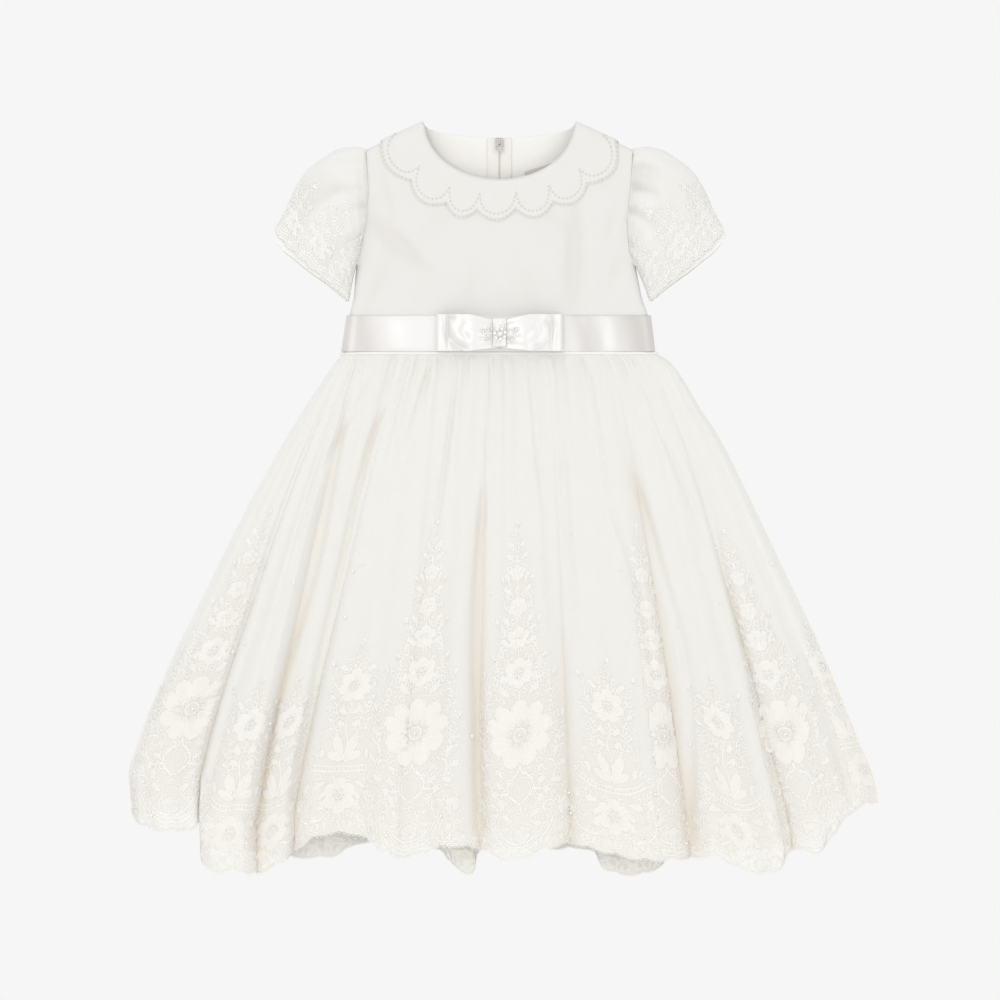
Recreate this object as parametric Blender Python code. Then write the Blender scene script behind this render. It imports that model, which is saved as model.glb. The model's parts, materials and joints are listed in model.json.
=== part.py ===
"""Toddler's organza dress, laid flat on its back and seen from above.

X runs to the right, Y from the hem to the neck and Z up from the surface that the dress lies on.
Sizes are in millimetres, and each mesh is written in metres.
"""

import math
from collections import namedtuple

import bpy
import numpy as np

MM = 0.001
ORIGIN_X = -0.45
ORIGIN_Y = 0.39

# Cloth and seams
WALL = 1.2
GAP = 0.3
PIECE = GAP + WALL

# The flattened bodice: the two walls are joined along round edges
CENTRE_X = -4.0
BODICE_HIGH = 16.0
BACK_LOW = PIECE
EDGE_RADIUS = (BODICE_HIGH - BACK_LOW - GAP) / 2
MIDDLE_Z = (BODICE_HIGH + BACK_LOW) / 2
TURN_EASE = 1.0
WAIST_Y = 127.0
UNDERARM_Y = 203.0
SHOULDER_HALF = 116.0
SHOULDER_Y = 307.0

# The neck: half an ellipse in front, a shallower one behind
NECK_HALF = 66.5
NECK_Y = 329.5
NECK_FRONT_DEPTH = 50.5
NECK_BACK_DEPTH = 11.8

# The ribbon
BELT_TOP_Y = 160.0
BELT_LOW_Y = 128.5

# The skirt and its lining
SKIRT_WAIST_Z = 14.5
SKIRT_EDGE_Z = 2.9
SKIRT_EDGE_ROUND = 12.0
SKIRT_LOW_Z = PIECE + WALL
LINING_HIGH = 9.2
LINING_HEM_Y = -272.0
LINING_HEM_BOW = 16.0

# The zip
ZIP_TOP_Y = 316.5
ZIP_LOW_Y = 136.0
TAPE_WIDTH = 11.0
SLIDER_Y = 313.0

Side = namedtuple("Side", "y left right")
Fold = namedtuple("Fold", "waist_x hem_x hem_y crest")
Corner = namedtuple("Corner", "x y")
Cusp = namedtuple("Cusp", "x y neck_angle bulge")
Out = namedtuple("Out", "out y")
Crease = namedtuple("Crease", "x y along_x along_y width length height")

TORSO = [
    Side(307, -120, 112),
    Side(271, -118, 110),
    Side(243, -120, 107),
    Side(216, -125, 109),
    Side(203, -130, 116),
    Side(177, -132, 121),
    Side(160, -136, 127),
    Side(127, -141, 131),
]

SKIRT_LEFT = [
    Corner(-143, 127),
    Corner(-165, 96),
    Corner(-196, 46),
    Corner(-231, -17),
    Corner(-264, -84),
    Corner(-292, -140),
    Corner(-312, -185),
    Corner(-326, -224),
    Corner(-331, -241),
    Corner(-328, -277),
]

SKIRT_RIGHT = [
    Corner(135, 127),
    Corner(151, 115),
    Corner(173, 79),
    Corner(191, 51),
    Corner(219, -5),
    Corner(246, -62),
    Corner(275, -123),
    Corner(303, -190),
    Corner(326, -246),
    Corner(330, -267),
]

# Folds of the skirt's front from left to right: ridges stand high on the hem and valleys lie low
FOLDS = [
    Fold(-143, -328, -277, 3),
    Fold(-142, -318, -287, 15),
    Fold(-140, -298, -291, 25),
    Fold(-138, -275, -290, 19),
    Fold(-135.5, -265, -286, 12),
    Fold(-133, -265.5, -317, 19),
    Fold(-130, -252, -327, 29),
    Fold(-128, -234, -325, 31),
    Fold(-125, -217, -329, 12.5),
    Fold(-106, -196, -320, 21),
    Fold(-88, -185, -310, 11.5),
    Fold(-79, -162, -295, 24),
    Fold(-70, -129, -293, 33),
    Fold(-59, -106, -309, 28),
    Fold(-48, -92, -314, 26),
    Fold(-38, -73, -311, 31),
    Fold(-27, -51, -304, 25),
    Fold(-16, -22, -307, 11.5),
    Fold(-1, 5, -317, 25),
    Fold(18, 33, -308, 27),
    Fold(36, 58, -302, 16),
    Fold(55, 85, -308, 28),
    Fold(74, 120, -315, 33),
    Fold(92, 163, -316, 11.5),
    Fold(103, 185, -314, 25),
    Fold(112, 213, -326, 32),
    Fold(118, 239, -327, 24),
    Fold(123, 253, -308, 12.5),
    Fold(128, 276, -310, 23),
    Fold(130, 296, -285, 20),
    Fold(133, 312, -271, 14),
    Fold(135, 330, -267, 3),
]

# The back's hem, which shows below the front's where the front is drawn up
BACK_HEM = [
    Corner(-303, -276),
    Corner(-268, -280),
    Corner(-237, -303),
    Corner(-213, -312),
    Corner(-180, -316),
    Corner(-149, -314),
    Corner(-127, -303),
    Corner(-92, -306),
    Corner(-58, -308),
    Corner(-48, -320),
    Corner(-28, -331),
    Corner(-21, -310),
    Corner(10, -306),
    Corner(46, -308),
    Corner(76, -309),
    Corner(90, -327),
    Corner(118, -331),
    Corner(137, -324),
    Corner(157, -310),
    Corner(208, -310),
    Corner(252, -303),
    Corner(278, -290),
    Corner(304, -268),
]

# The collar's outer edge: where its scallops meet, the place on the neck and the scallop that follows
FRONT_SCALLOPS = [
    Cusp(-108.0, 312.5, 180, 10),
    Cusp(-82, 278, 205, 11),
    Cusp(-51, 258, 233, 10),
    Cusp(-24, 252, 257, 10),
    Cusp(10, 253, 283, 11),
    Cusp(43, 259, 307, 10),
    Cusp(73, 275, 335, 14),
    Cusp(98.0, 313.2, 360, 0),
]
BACK_SCALLOPS = [
    Cusp(-108.0, 312.5, 180, 10),
    Cusp(-80, 287, 212, 10),
    Cusp(-45, 278, 242, 9),
    Cusp(-6, 279, 268, 0),
]

SLEEVE_TOP = [
    Out(116, 307),
    Out(128, 309),
    Out(143, 306),
    Out(155, 299),
    Out(170, 287),
    Out(181, 270),
    Out(190, 250),
    Out(201, 232),
]
SLEEVE_CUFF = [
    Out(201, 232),
    Out(191, 218),
    Out(180, 209),
    Out(168, 199),
    Out(154, 189),
    Out(144, 181),
    Out(133, 172),
]

# Soft creases and swellings of the bodice's front
CREASES = [
    Crease(-4, 215, 0.0, 1.0, 75, 60, 3.0),
    Crease(-92, 222, 0.75, -0.66, 9, 26, -1.6),
    Crease(61, 205, 0.05, 1.0, 9, 34, -1.8),
    Crease(83, 205, 0.0, 1.0, 10, 34, 1.4),
]


def clear_scene():
    for item in list(bpy.data.objects):
        bpy.data.objects.remove(item, do_unlink=True)


def finish_of(name, colour, roughness, metallic=0.0):
    material = bpy.data.materials.get(name) or bpy.data.materials.new(name)
    material.use_nodes = True
    shader = material.node_tree.nodes["Principled BSDF"]
    shader.inputs["Base Color"].default_value = (*colour, 1.0)
    shader.inputs["Roughness"].default_value = roughness
    shader.inputs["Metallic"].default_value = metallic
    material.diffuse_color = (*colour, 1.0)
    return material


def crepe():
    return finish_of("ivory_crepe", (0.86, 0.84, 0.81), 0.8)


def organza():
    return finish_of("ivory_organza", (0.87, 0.85, 0.80), 0.55)


def lining_cloth():
    return finish_of("ivory_lining", (0.88, 0.87, 0.83), 0.7)


def satin():
    return finish_of("white_satin", (0.90, 0.89, 0.87), 0.3)


def tape_cloth():
    return finish_of("zip_tape", (0.84, 0.82, 0.76), 0.75)


def bright_metal():
    return finish_of("silver_metal", (0.62, 0.60, 0.58), 0.3, 1.0)


def label_cloth():
    return finish_of("label_satin", (0.78, 0.76, 0.71), 0.5)


def along(rows, share):
    """A smooth curve through rows of numbers, evenly spread over the share from 0 to 1."""
    table = np.array(rows, float)
    place = min(max(share, 0.0), 1.0) * (len(table) - 1)
    start = min(int(place), len(table) - 2)
    part = place - start
    before = table[max(start - 1, 0)]
    first = table[start]
    second = table[start + 1]
    after = table[min(start + 2, len(table) - 1)]
    bend = 2 * before - 5 * first + 4 * second - after
    twist = 3 * (first - second) + after - before
    return first + 0.5 * part * (second - before + part * (bend + part * twist))


def eased(rows, share):
    """Like along, but level at each row, so that it never overshoots a ridge or a valley."""
    table = np.array(rows, float)
    place = min(max(share, 0.0), 1.0) * (len(table) - 1)
    start = min(int(place), len(table) - 2)
    turn = 0.5 - 0.5 * math.cos(math.pi * (place - start))
    return table[start] * (1 - turn) + table[start + 1] * turn


def torso_edge(side, y):
    """X of the bodice's side or armhole at a height, on the side -1 or 1."""
    heights = [row.y for row in TORSO][::-1]
    edges = [row.left if side < 0 else row.right for row in TORSO][::-1]
    return float(np.interp(y, heights, edges))


def shoulder_tip(side):
    return np.array([CENTRE_X + side * SHOULDER_HALF, SHOULDER_Y])


def neck_point(side):
    return np.array([CENTRE_X + side * NECK_HALF, NECK_Y])


def neck_curve(angle, depth):
    """A point of the neck's edge, at an angle from 180 degrees at the left round to 360 at the right."""
    turn = math.radians(angle)
    return np.array([CENTRE_X + NECK_HALF * math.cos(turn), NECK_Y + depth * math.sin(turn)])


def closing_segments():
    """The lines along which front and back meet, each with its outward direction."""
    found = []
    for side in (-1, 1):
        runs = [(shoulder_tip(side), neck_point(side))]
        rows = [row for row in TORSO if row.y <= UNDERARM_Y]
        corners = [np.array([torso_edge(side, row.y), row.y]) for row in rows]
        runs += list(zip(corners, corners[1:]))
        for start, end in runs:
            run = (end - start) / np.linalg.norm(end - start)
            outward = np.array([run[1], -run[0]])
            inside = np.array([CENTRE_X, UNDERARM_Y]) - start
            found.append((start, end, -outward if outward @ inside > 0 else outward))
    return found


CLOSINGS = closing_segments()


def nearest_closing(x, y):
    """The distance to the line where front and back meet, and its outward direction."""
    point = np.array([x, y])
    best = (1e9, None)
    for start, end, outward in CLOSINGS:
        run = end - start
        share = min(max((point - start) @ run / (run @ run), 0.0), 1.0)
        distance = float(np.linalg.norm(point - start - share * run))
        if distance < best[0]:
            best = (distance, outward)
    return best


def creased(x, y):
    """How far the bodice's front swells or sinks."""
    height = 0.0
    for row in CREASES:
        ahead = (x - row.x) * row.along_x + (y - row.y) * row.along_y
        aside = (x - row.x) * row.along_y - (y - row.y) * row.along_x
        height += row.height * math.exp(-((aside / row.width) ** 2) - (ahead / row.length) ** 2)
    return height


def torso(x, y, side, lift):
    """A point of the bodice's front (side 1) or back (-1), moved out by a lift; side 0 is on the fold."""
    distance, outward = nearest_closing(x, y)
    level = 1 - min(distance / EDGE_RADIUS, 1.0)
    upright = math.sqrt(1 - level * level)
    if lift > 0:
        lift += TURN_EASE * level
    rise = (EDGE_RADIUS + lift) * upright + GAP / 2
    height = MIDDLE_Z + side * rise
    if side > 0:
        height += creased(x, y) * min(distance / 30, 1.0)
    moved = np.array([x, y]) + outward * lift * level
    return (moved[0], moved[1], max(height, 0.0))


def grid_of(place, across, down):
    """Points of a surface at each pair of shares, as an array."""
    return np.array([[place(u, v) for v in down] for u in across], float)


def patch(bottom, top, left, right):
    """A flat patch between four edges, each a function of a share from 0 to 1."""
    corner = bottom(0), bottom(1), top(0), top(1)

    def place(u, v):
        sides = (1 - u) * left(v) + u * right(v)
        ends = (1 - v) * bottom(u) + v * top(u)
        flat = (1 - v) * ((1 - u) * corner[0] + u * corner[1])
        flat = flat + v * ((1 - u) * corner[2] + u * corner[3])
        return sides + ends - flat

    return place


def turned_in(outer, thickness, closed):
    """The inner points of a wall, square to its outer points."""
    if closed:
        around = np.roll(outer, -1, axis=0) - np.roll(outer, 1, axis=0)
    else:
        around = np.gradient(outer, axis=0)
    length = np.gradient(outer, axis=1)
    normal = np.cross(around, length)
    normal /= np.linalg.norm(normal, axis=2, keepdims=True)
    if closed:
        out = outer - outer.mean(axis=0, keepdims=True)
        facing = (normal * out).sum()
    else:
        facing = normal[:, :, 2].sum()
    return outer - normal * thickness * (1 if facing > 0 else -1)


def add_object(name, points, faces, material, origin=(0.0, 0.0, 0.0)):
    """A named object with outward faces, its origin at a place in millimetres."""
    shift = np.array([ORIGIN_X, ORIGIN_Y, 0.0])
    points = np.array(points, float) - shift
    middle = np.array(origin, float) - (shift if any(origin) else 0.0)
    volume = 0.0
    for face in faces:
        first = points[face[0]]
        for a, b in zip(face[1:], face[2:]):
            volume += first @ np.cross(points[a], points[b])
    if volume < 0:
        faces = [face[::-1] for face in faces]
    mesh = bpy.data.meshes.new(name)
    mesh.from_pydata([tuple(p) for p in (points - middle) * MM], [], [tuple(f) for f in faces])
    mesh.materials.append(material)
    mesh.shade_smooth()
    mesh.set_sharp_from_angle(angle=math.radians(50))
    item = bpy.data.objects.new(name, mesh)
    item.location = middle * MM
    bpy.context.scene.collection.objects.link(item)
    return item


def wall(name, outer, inner, material, closed=False):
    """A closed wall between two grids of points; a closed grid joins its first and last rows."""
    rows, columns = outer.shape[:2]
    points = np.concatenate([outer.reshape(-1, 3), inner.reshape(-1, 3)])
    inside = rows * columns

    def at(row, column):
        return (row % rows) * columns + column

    faces = []
    spans = rows if closed else rows - 1
    for row in range(spans):
        for column in range(columns - 1):
            face = (at(row, column), at(row + 1, column), at(row + 1, column + 1), at(row, column + 1))
            faces.append(face)
            faces.append(tuple(inside + index for index in face[::-1]))
        for column, step in ((0, 1), (columns - 1, -1)):
            a, b = (at(row, column), at(row + 1, column))[::step]
            faces.append((b, a, inside + a, inside + b))
    if not closed:
        for row, step in ((0, -1), (rows - 1, 1)):
            for column in range(columns - 1):
                a, b = (at(row, column), at(row, column + 1))[::step]
                faces.append((b, a, inside + a, inside + b))
    return add_object(name, points, faces, material)


def plate(name, outline, low, high, material):
    """A flat piece with an outline of corners, between two heights."""
    count = len(outline)
    points = [(x, y, low) for x, y in outline] + [(x, y, high) for x, y in outline]
    faces = [tuple(range(count))[::-1], tuple(range(count, 2 * count))]
    for index in range(count):
        after = (index + 1) % count
        faces.append((index, after, count + after, count + index))
    return add_object(name, points, faces, material)


def evenly(count):
    return [i / count for i in range(count + 1)]


def up_the_torso(heights):
    """Shares of the way from the waist to the shoulder."""
    return [max(y - WAIST_Y - GAP, 0.0) / (SHOULDER_Y - WAIST_Y - GAP) for y in heights]


def torso_side(side):
    """The edge of the bodice from the waist up the side and the armhole to the shoulder."""

    def place(v):
        y = WAIST_Y + GAP + v * (SHOULDER_Y - WAIST_Y - GAP)
        return np.array([torso_edge(side, y), y])

    return place


def run_between(first, last):
    return lambda share: first + (last - first) * share


def make_bodice_front():
    shoulder_share = 0.24

    def top(u):
        if u < shoulder_share:
            return run_between(shoulder_tip(-1), neck_point(-1))(u / shoulder_share)
        if u > 1 - shoulder_share:
            return run_between(neck_point(1), shoulder_tip(1))((u - 1 + shoulder_share) / shoulder_share)
        angle = 180 + 180 * (u - shoulder_share) / (1 - 2 * shoulder_share)
        return neck_curve(angle, NECK_FRONT_DEPTH)

    waist = run_between(torso_side(-1)(0), torso_side(1)(0))
    plan = patch(waist, top, torso_side(-1), torso_side(1))
    across = [0, 0.006, 0.02, 0.05, 0.1, 0.17]
    across += [shoulder_share + (0.5 - shoulder_share) * i / 6 for i in range(7)]
    across += [1 - u for u in across[-2::-1]]
    down = up_the_torso([127, 143, 160, 177, 190, 203, 216, 230, 243, 257, 271, 283, 292, 299, 304, 307])

    def surface(lift):
        return grid_of(lambda u, v: torso(*plan(u, v), 1, lift), across, down)

    wall("bodice_front", surface(0.0), surface(-WALL), crepe())


def make_bodice_back(side, name):
    neck_share = 0.55
    opening = 0.4

    def top(u):
        if u < 1 - neck_share:
            return run_between(shoulder_tip(side), neck_point(side))(u / (1 - neck_share))
        share = (u - 1 + neck_share) / neck_share
        point = neck_curve(270 + side * 90 * (1 - share), NECK_BACK_DEPTH)
        return point + np.array([side * opening * share, 0.0])

    centre = np.array([CENTRE_X + side * opening, WAIST_Y + GAP])
    plan = patch(
        run_between(torso_side(side)(0), centre),
        top,
        torso_side(side),
        run_between(centre, top(1)),
    )
    across = [0, 0.012, 0.04, 0.09, 0.2, 0.32, 1 - neck_share, 0.6, 0.72, 0.86, 1]
    down = up_the_torso([127, 177, 203, 216, 243, 271, 290, 300, 305, 307])

    def surface(lift):
        return grid_of(lambda u, v: torso(*plan(u, v), -1, lift), across, down)

    wall(name, surface(0.0), surface(-WALL), crepe())


def scallop_sections(cusps, shares, side, depth):
    """Rows of the collar: each has a point on the neck, one on the scalloped edge, and a side."""
    sections = []
    for first, second in zip(cusps, cusps[1:]):
        start = np.array([first.x, first.y])
        end = np.array([second.x, second.y])
        run = end - start
        outward = np.array([run[1], -run[0]]) / np.linalg.norm(run)
        if outward @ (start - np.array([CENTRE_X, NECK_Y])) < 0:
            outward = -outward
        for share in shares:
            angle = first.neck_angle + (second.neck_angle - first.neck_angle) * share
            edge = start + run * share + outward * first.bulge * math.sin(math.pi * share) ** 0.8
            sections.append((neck_curve(angle, depth), edge, side))
    return sections


def make_collar():
    shares = evenly(5)[:-1]
    left = scallop_sections(BACK_SCALLOPS, shares, -1, NECK_BACK_DEPTH)
    last = BACK_SCALLOPS[-1]
    left.append((neck_curve(last.neck_angle, NECK_BACK_DEPTH), np.array([last.x, last.y]), -1))
    left[0] = (left[0][0], left[0][1], 0)
    front = scallop_sections(FRONT_SCALLOPS, shares, 1, NECK_FRONT_DEPTH)
    front[0] = (front[0][0], front[0][1], 0)
    mirrored = [(mirror(neck), mirror(edge), side) for neck, edge, side in left]
    sections = with_round_edge(left)[::-1] + with_round_edge(front, both=mirrored[0])[1:-1]
    sections += with_round_edge(mirrored)
    widths = [0, 0.14, 0.4, 0.7, 1]

    def surface(lift):
        rows = []
        for neck, edge, side in sections:
            rows.append([torso(*(neck + (edge - neck) * w), side, lift) for w in widths])
        return np.array(rows)

    wall("collar", surface(PIECE), surface(GAP), crepe())


def mirror(point):
    return np.array([2 * CENTRE_X - point[0], point[1]])


def with_round_edge(sections, both=None):
    """Adds sections close to the fold, so that the collar turns over the shoulder in a round."""
    near = (0.04, 0.12, 0.28, 0.6)
    first, second = sections[:2]
    added = [blend_section(first, second, share) for share in near]
    result = [first] + added + sections[1:]
    if both is not None:
        result += [blend_section(both, sections[-1], share) for share in near[::-1]] + [both]
    return result


def blend_section(first, second, share):
    neck = first[0] * (1 - share) + second[0] * share
    edge = first[1] * (1 - share) + second[1] * share
    return (neck, edge, second[2])


def make_belt():
    """The ribbon lies on the bodice all round, and its ends meet at the zip."""
    heights = [BELT_LOW_Y, (BELT_LOW_Y + BELT_TOP_Y) / 2, BELT_TOP_Y]
    shares = [0.006, 0.02, 0.05, 0.14, 0.3]
    front_shares = [0, 0.006, 0.02, 0.05, 0.1, 0.17, 0.24, 0.32, 0.41, 0.5]
    front_shares += [1 - share for share in front_shares[-2::-1]]
    zip_room = 0.6

    def surface(lift):
        rows = []
        for share, side in belt_places(shares, front_shares):
            row = []
            for y in heights:
                left = torso_edge(-1, y)
                right = torso_edge(1, y)
                x = left + (right - left) * share
                if side < 0 and abs(share - 0.5) < 0.05:
                    x = CENTRE_X + math.copysign(zip_room, share - 0.5)
                row.append(torso(x, y, side, lift))
            rows.append(row)
        return np.array(rows)

    wall("ribbon_belt", surface(PIECE), surface(GAP), satin())


def belt_places(shares, front_shares):
    """Shares of the way from left to right, each with the side that it lies on, from the zip round."""
    back_left = [(0.499, -1)] + [(share, -1) for share in shares[::-1]]
    ends = [(share, 1 if 0 < share < 1 else 0) for share in front_shares]
    back_right = [(1 - share, -1) for share in shares] + [(0.501, -1)]
    return back_left + ends + back_right


def sleeve_plan(side):
    """The flat outline of a sleeve: armhole at 0, cuff at 1; its upper edge at 0, underarm at 1."""
    reach = np.array([side, 1.0])
    middle = np.array([CENTRE_X, 0.0])
    seam = GAP + 0.5

    def outline(rows):
        return lambda share: along(rows, share) * reach + middle

    def armhole(t):
        y = SHOULDER_Y + t * (UNDERARM_Y + 1.0 - SHOULDER_Y)
        return np.array([torso_edge(side, y) + side * seam, y])

    cuff = outline(SLEEVE_CUFF)
    top = outline(SLEEVE_TOP)
    start = armhole(1)
    end = cuff(1)
    lift = (cuff(0) - top(1), armhole(0) - top(0))

    def upper(s):
        return top(s) + lift[0] * s + lift[1] * (1 - s)

    return patch(upper, run_between(start, end), armhole, cuff)


def make_sleeve(side, name):
    plan = sleeve_plan(side)
    around = 40
    lengths = [0, 0.06, 0.15, 0.28, 0.45, 0.64, 0.84, 1]
    puff = [0.0, 6.5, 12.5, 16.5, 17.0, 14.0, 8.5, 3.0]
    seam_high = BODICE_HIGH - 0.5
    flat_share = 0.55

    def place(turn, s):
        angle = 2 * math.pi * turn
        t = 0.5 - 0.5 * math.cos(angle)
        x, y = plan(s, t)
        level = MIDDLE_Z * (1 - 0.25 * s)
        swell = math.sin(angle)
        if swell >= 0:
            crown = seam_high + float(np.interp(s, lengths, puff)) * swell
            gathers = 1.2 * math.sin(14 * math.pi * t) * (1 - s) ** 2 * min(s / 0.1, 1) * swell
            return (x, y, level + (crown - level) * swell ** 0.4 + gathers)
        seat = BACK_LOW * max(1 - s / 0.06, 0.0)
        return (x, y, level + (seat - level) * min(-swell / flat_share, 1.0) ** 0.6)

    outer = grid_of(place, [i / around for i in range(around)], lengths)
    wall(name, outer, turned_in(outer, WALL, True), organza(), closed=True)


def skirt_side(rows):
    return lambda v: along(rows, side_share(rows, v))


def side_share(rows, v):
    """The place in the rows of a side at a share of its length."""
    table = np.array(rows, float)
    steps = np.linalg.norm(np.diff(table, axis=0), axis=1)
    reached = np.concatenate([[0.0], np.cumsum(steps)]) / steps.sum()
    return float(np.interp(v, reached, np.linspace(0, 1, len(table))))


def skirt_plan(u, v):
    """The place of the skirt's front, u across from left to right and v from the waist to the hem."""
    waist_x = along([[row.waist_x] for row in FOLDS], u)[0]
    hem = along([[row.hem_x, row.hem_y] for row in FOLDS], u)
    straight = np.array([waist_x, WAIST_Y]) * (1 - v) + hem * v
    for rows, weight in ((SKIRT_LEFT, (1 - u) ** 2.5), (SKIRT_RIGHT, u ** 2.5)):
        start, end = np.array(rows[0]), np.array(rows[-1])
        straight = straight + weight * (skirt_side(rows)(v) - start * (1 - v) - end * v)
    return straight


def skirt_height(u, v, x, edges):
    """The height of the skirt's front: gathers at the waist that open into folds at the hem."""
    crest = eased([[row.crest] for row in FOLDS], u)[0]
    spread = FOLDS[1].waist_x - FOLDS[0].waist_x
    for left, right in zip(FOLDS, FOLDS[1:]):
        if left.waist_x <= x <= right.waist_x:
            spread = right.waist_x - left.waist_x
    gather = min(0.12 * spread, 1.4) * math.cos(2 * math.pi * u * (len(FOLDS) - 1))
    high = SKIRT_WAIST_Z + (crest - SKIRT_WAIST_Z) * v ** 0.85
    high += gather * max(1 - v / 0.3, 0.0)
    inside = max(min(x - edges[0], edges[1] - x), 0.0)
    level = 1 - min(inside / SKIRT_EDGE_ROUND, 1.0)
    return SKIRT_EDGE_Z + (max(high, SKIRT_EDGE_Z) - SKIRT_EDGE_Z) * math.sqrt(1 - level * level)


def make_skirt_front():
    columns = evenly(3 * (len(FOLDS) - 1))
    rows = [share ** 1.25 for share in evenly(10)]

    def place(u, v):
        x, y = skirt_plan(u, v)
        edges = (skirt_plan(0, v)[0], skirt_plan(1, v)[0])
        return (x, y, skirt_height(u, v, x, edges))

    outer = grid_of(place, columns, rows)
    inner = turned_in(outer, WALL, False)
    inner[:, 0, 1] = outer[:, 0, 1]
    inner[:, :, 2] = np.maximum(inner[:, :, 2], PIECE)
    wall("skirt_front", outer, inner, organza())


def make_skirt_back():
    left = [tuple(skirt_side(SKIRT_LEFT)(v)) for v in evenly(12)]
    right = [tuple(skirt_side(SKIRT_RIGHT)(v)) for v in evenly(12)]
    hem = [tuple(along(BACK_HEM, share)) for share in evenly(3 * (len(BACK_HEM) - 1))]
    plate("skirt_back", left + hem + right[::-1], 0.0, WALL, organza())


def make_lining():
    """The opaque underskirt: a flattened tube between the skirt's front and back."""
    around = 36
    lengths = evenly(7)
    middle = (SKIRT_LOW_Z - WALL + LINING_HIGH) / 2
    half = (LINING_HIGH - SKIRT_LOW_Z + WALL) / 2

    def edge(rows, y, inset):
        table = np.array(rows, float)[::-1]
        return float(np.interp(y, table[:, 1], table[:, 0])) + inset

    def place(turn, v):
        angle = 2 * math.pi * turn
        share = 0.5 - 0.5 * math.cos(angle)
        hem_y = LINING_HEM_Y - LINING_HEM_BOW * math.sin(math.pi * share)
        y = WAIST_Y - 1 + v * (hem_y - WAIST_Y + 1)
        inset = 5 + 19 * v
        left = edge(SKIRT_LEFT, y, inset)
        right = edge(SKIRT_RIGHT, y, -inset)
        swell = math.sin(angle)
        rise = half * math.copysign(min(abs(swell) / 0.35, 1.0) ** 0.6, swell)
        return (left + (right - left) * share, y, middle + rise)

    outer = grid_of(place, [i / around for i in range(around)], lengths)
    wall("skirt_lining", outer, turned_in(outer, WALL, True), lining_cloth(), closed=True)


def make_bow_loop(side, name):
    """One loop of the flat bow: the ribbon runs out, turns over and comes back to the middle."""
    reach = 52.0
    bow_y = 145.0
    thick = 1.0
    low = PIECE + GAP
    turn_radius = 2.4
    start = 1.2

    def half_width(x):
        return 11.5 + 4.6 * min(x / 30, 1.0) ** 1.2

    def path(share):
        """Distance from the middle, height over the bodice and how far the turn has gone."""
        if share < 0.4:
            return (start + (reach - start) * share / 0.4, 0.0, 0.0)
        if share < 0.6:
            angle = math.pi * (share - 0.4) / 0.2
            return (reach + turn_radius * math.sin(angle), turn_radius * (1 - math.cos(angle)), angle)
        back = (share - 0.6) / 0.4
        crown = 2.2 * math.sin(math.pi * back)
        return (reach - (reach - start) * back, 2 * turn_radius + crown, math.pi)

    def place(share, across, lift):
        x, rise, angle = path(share)
        y = bow_y + (across - 0.5) * 2 * half_width(x)
        out = lift * math.sin(angle)
        up = -lift * math.cos(angle)
        base = torso(CENTRE_X + side * x, y, 1, low + thick)
        return (CENTRE_X + side * (x + out), y, base[2] + rise + up)

    shares = [0, 0.13, 0.26, 0.4, 0.45, 0.5, 0.55, 0.6, 0.68, 0.76, 0.84, 0.92, 1]
    across = evenly(4)
    outer = grid_of(lambda s, t: place(s, t, thick), shares, across)
    inner = grid_of(lambda s, t: place(s, t, 0.0), shares, across)
    wall(name, outer, inner, satin())


def make_bow_knot():
    """The band over the middle of the bow."""
    half = 6.0
    bow_y = 145.0
    reach_y = 12.5
    low = PIECE + GAP + 1.0 + 4.8 + 1.0 + GAP + 0.8

    def place(s, t, lift):
        x = CENTRE_X + half * (2 * s - 1)
        y = bow_y + reach_y * (2 * t - 1)
        crown = 1.5 * math.sin(math.pi * s) + 0.8 * math.sin(math.pi * t)
        return (x, y, torso(x, y, 1, low)[2] + crown + lift)

    outer = grid_of(lambda s, t: place(s, t, 1.2), evenly(6), evenly(6))
    inner = grid_of(lambda s, t: place(s, t, 0.0), evenly(6), evenly(6))
    wall("bow_knot", outer, inner, satin())


def make_zip_tape(side, name):
    inner_x = CENTRE_X + side * 0.5
    outer_x = CENTRE_X + side * TAPE_WIDTH
    low = BACK_LOW + WALL + GAP
    outline = [(inner_x, ZIP_LOW_Y), (outer_x, ZIP_LOW_Y), (outer_x, ZIP_TOP_Y), (inner_x, ZIP_TOP_Y)]
    plate(name, outline, low, low + 1.0, tape_cloth())


def box_faces(start):
    """The faces of a box whose eight points begin at an index, low four first."""
    low = [start + i for i in range(4)]
    high = [start + 4 + i for i in range(4)]
    faces = [tuple(low[::-1]), tuple(high)]
    for i in range(4):
        after = (i + 1) % 4
        faces.append((low[i], low[after], high[after], high[i]))
    return faces


# The slider: a flat shoe over the teeth, and a bridge that holds the pull's bar
SLIDER_LOW = BACK_LOW + WALL + GAP + 1.0 + GAP
SHOE_HEIGHT = 2.2
SHOE_HALF = 3.2
SHOE_LENGTH = 8.0
BRIDGE_HALF = 0.8
BRIDGE_LENGTH = 4.6
BRIDGE_HIGH = 3.0
BRIDGE_BAR = 0.8
PIN_Y = SLIDER_Y
PIN_Z = SLIDER_LOW + SHOE_HEIGHT + 1.1


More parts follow.
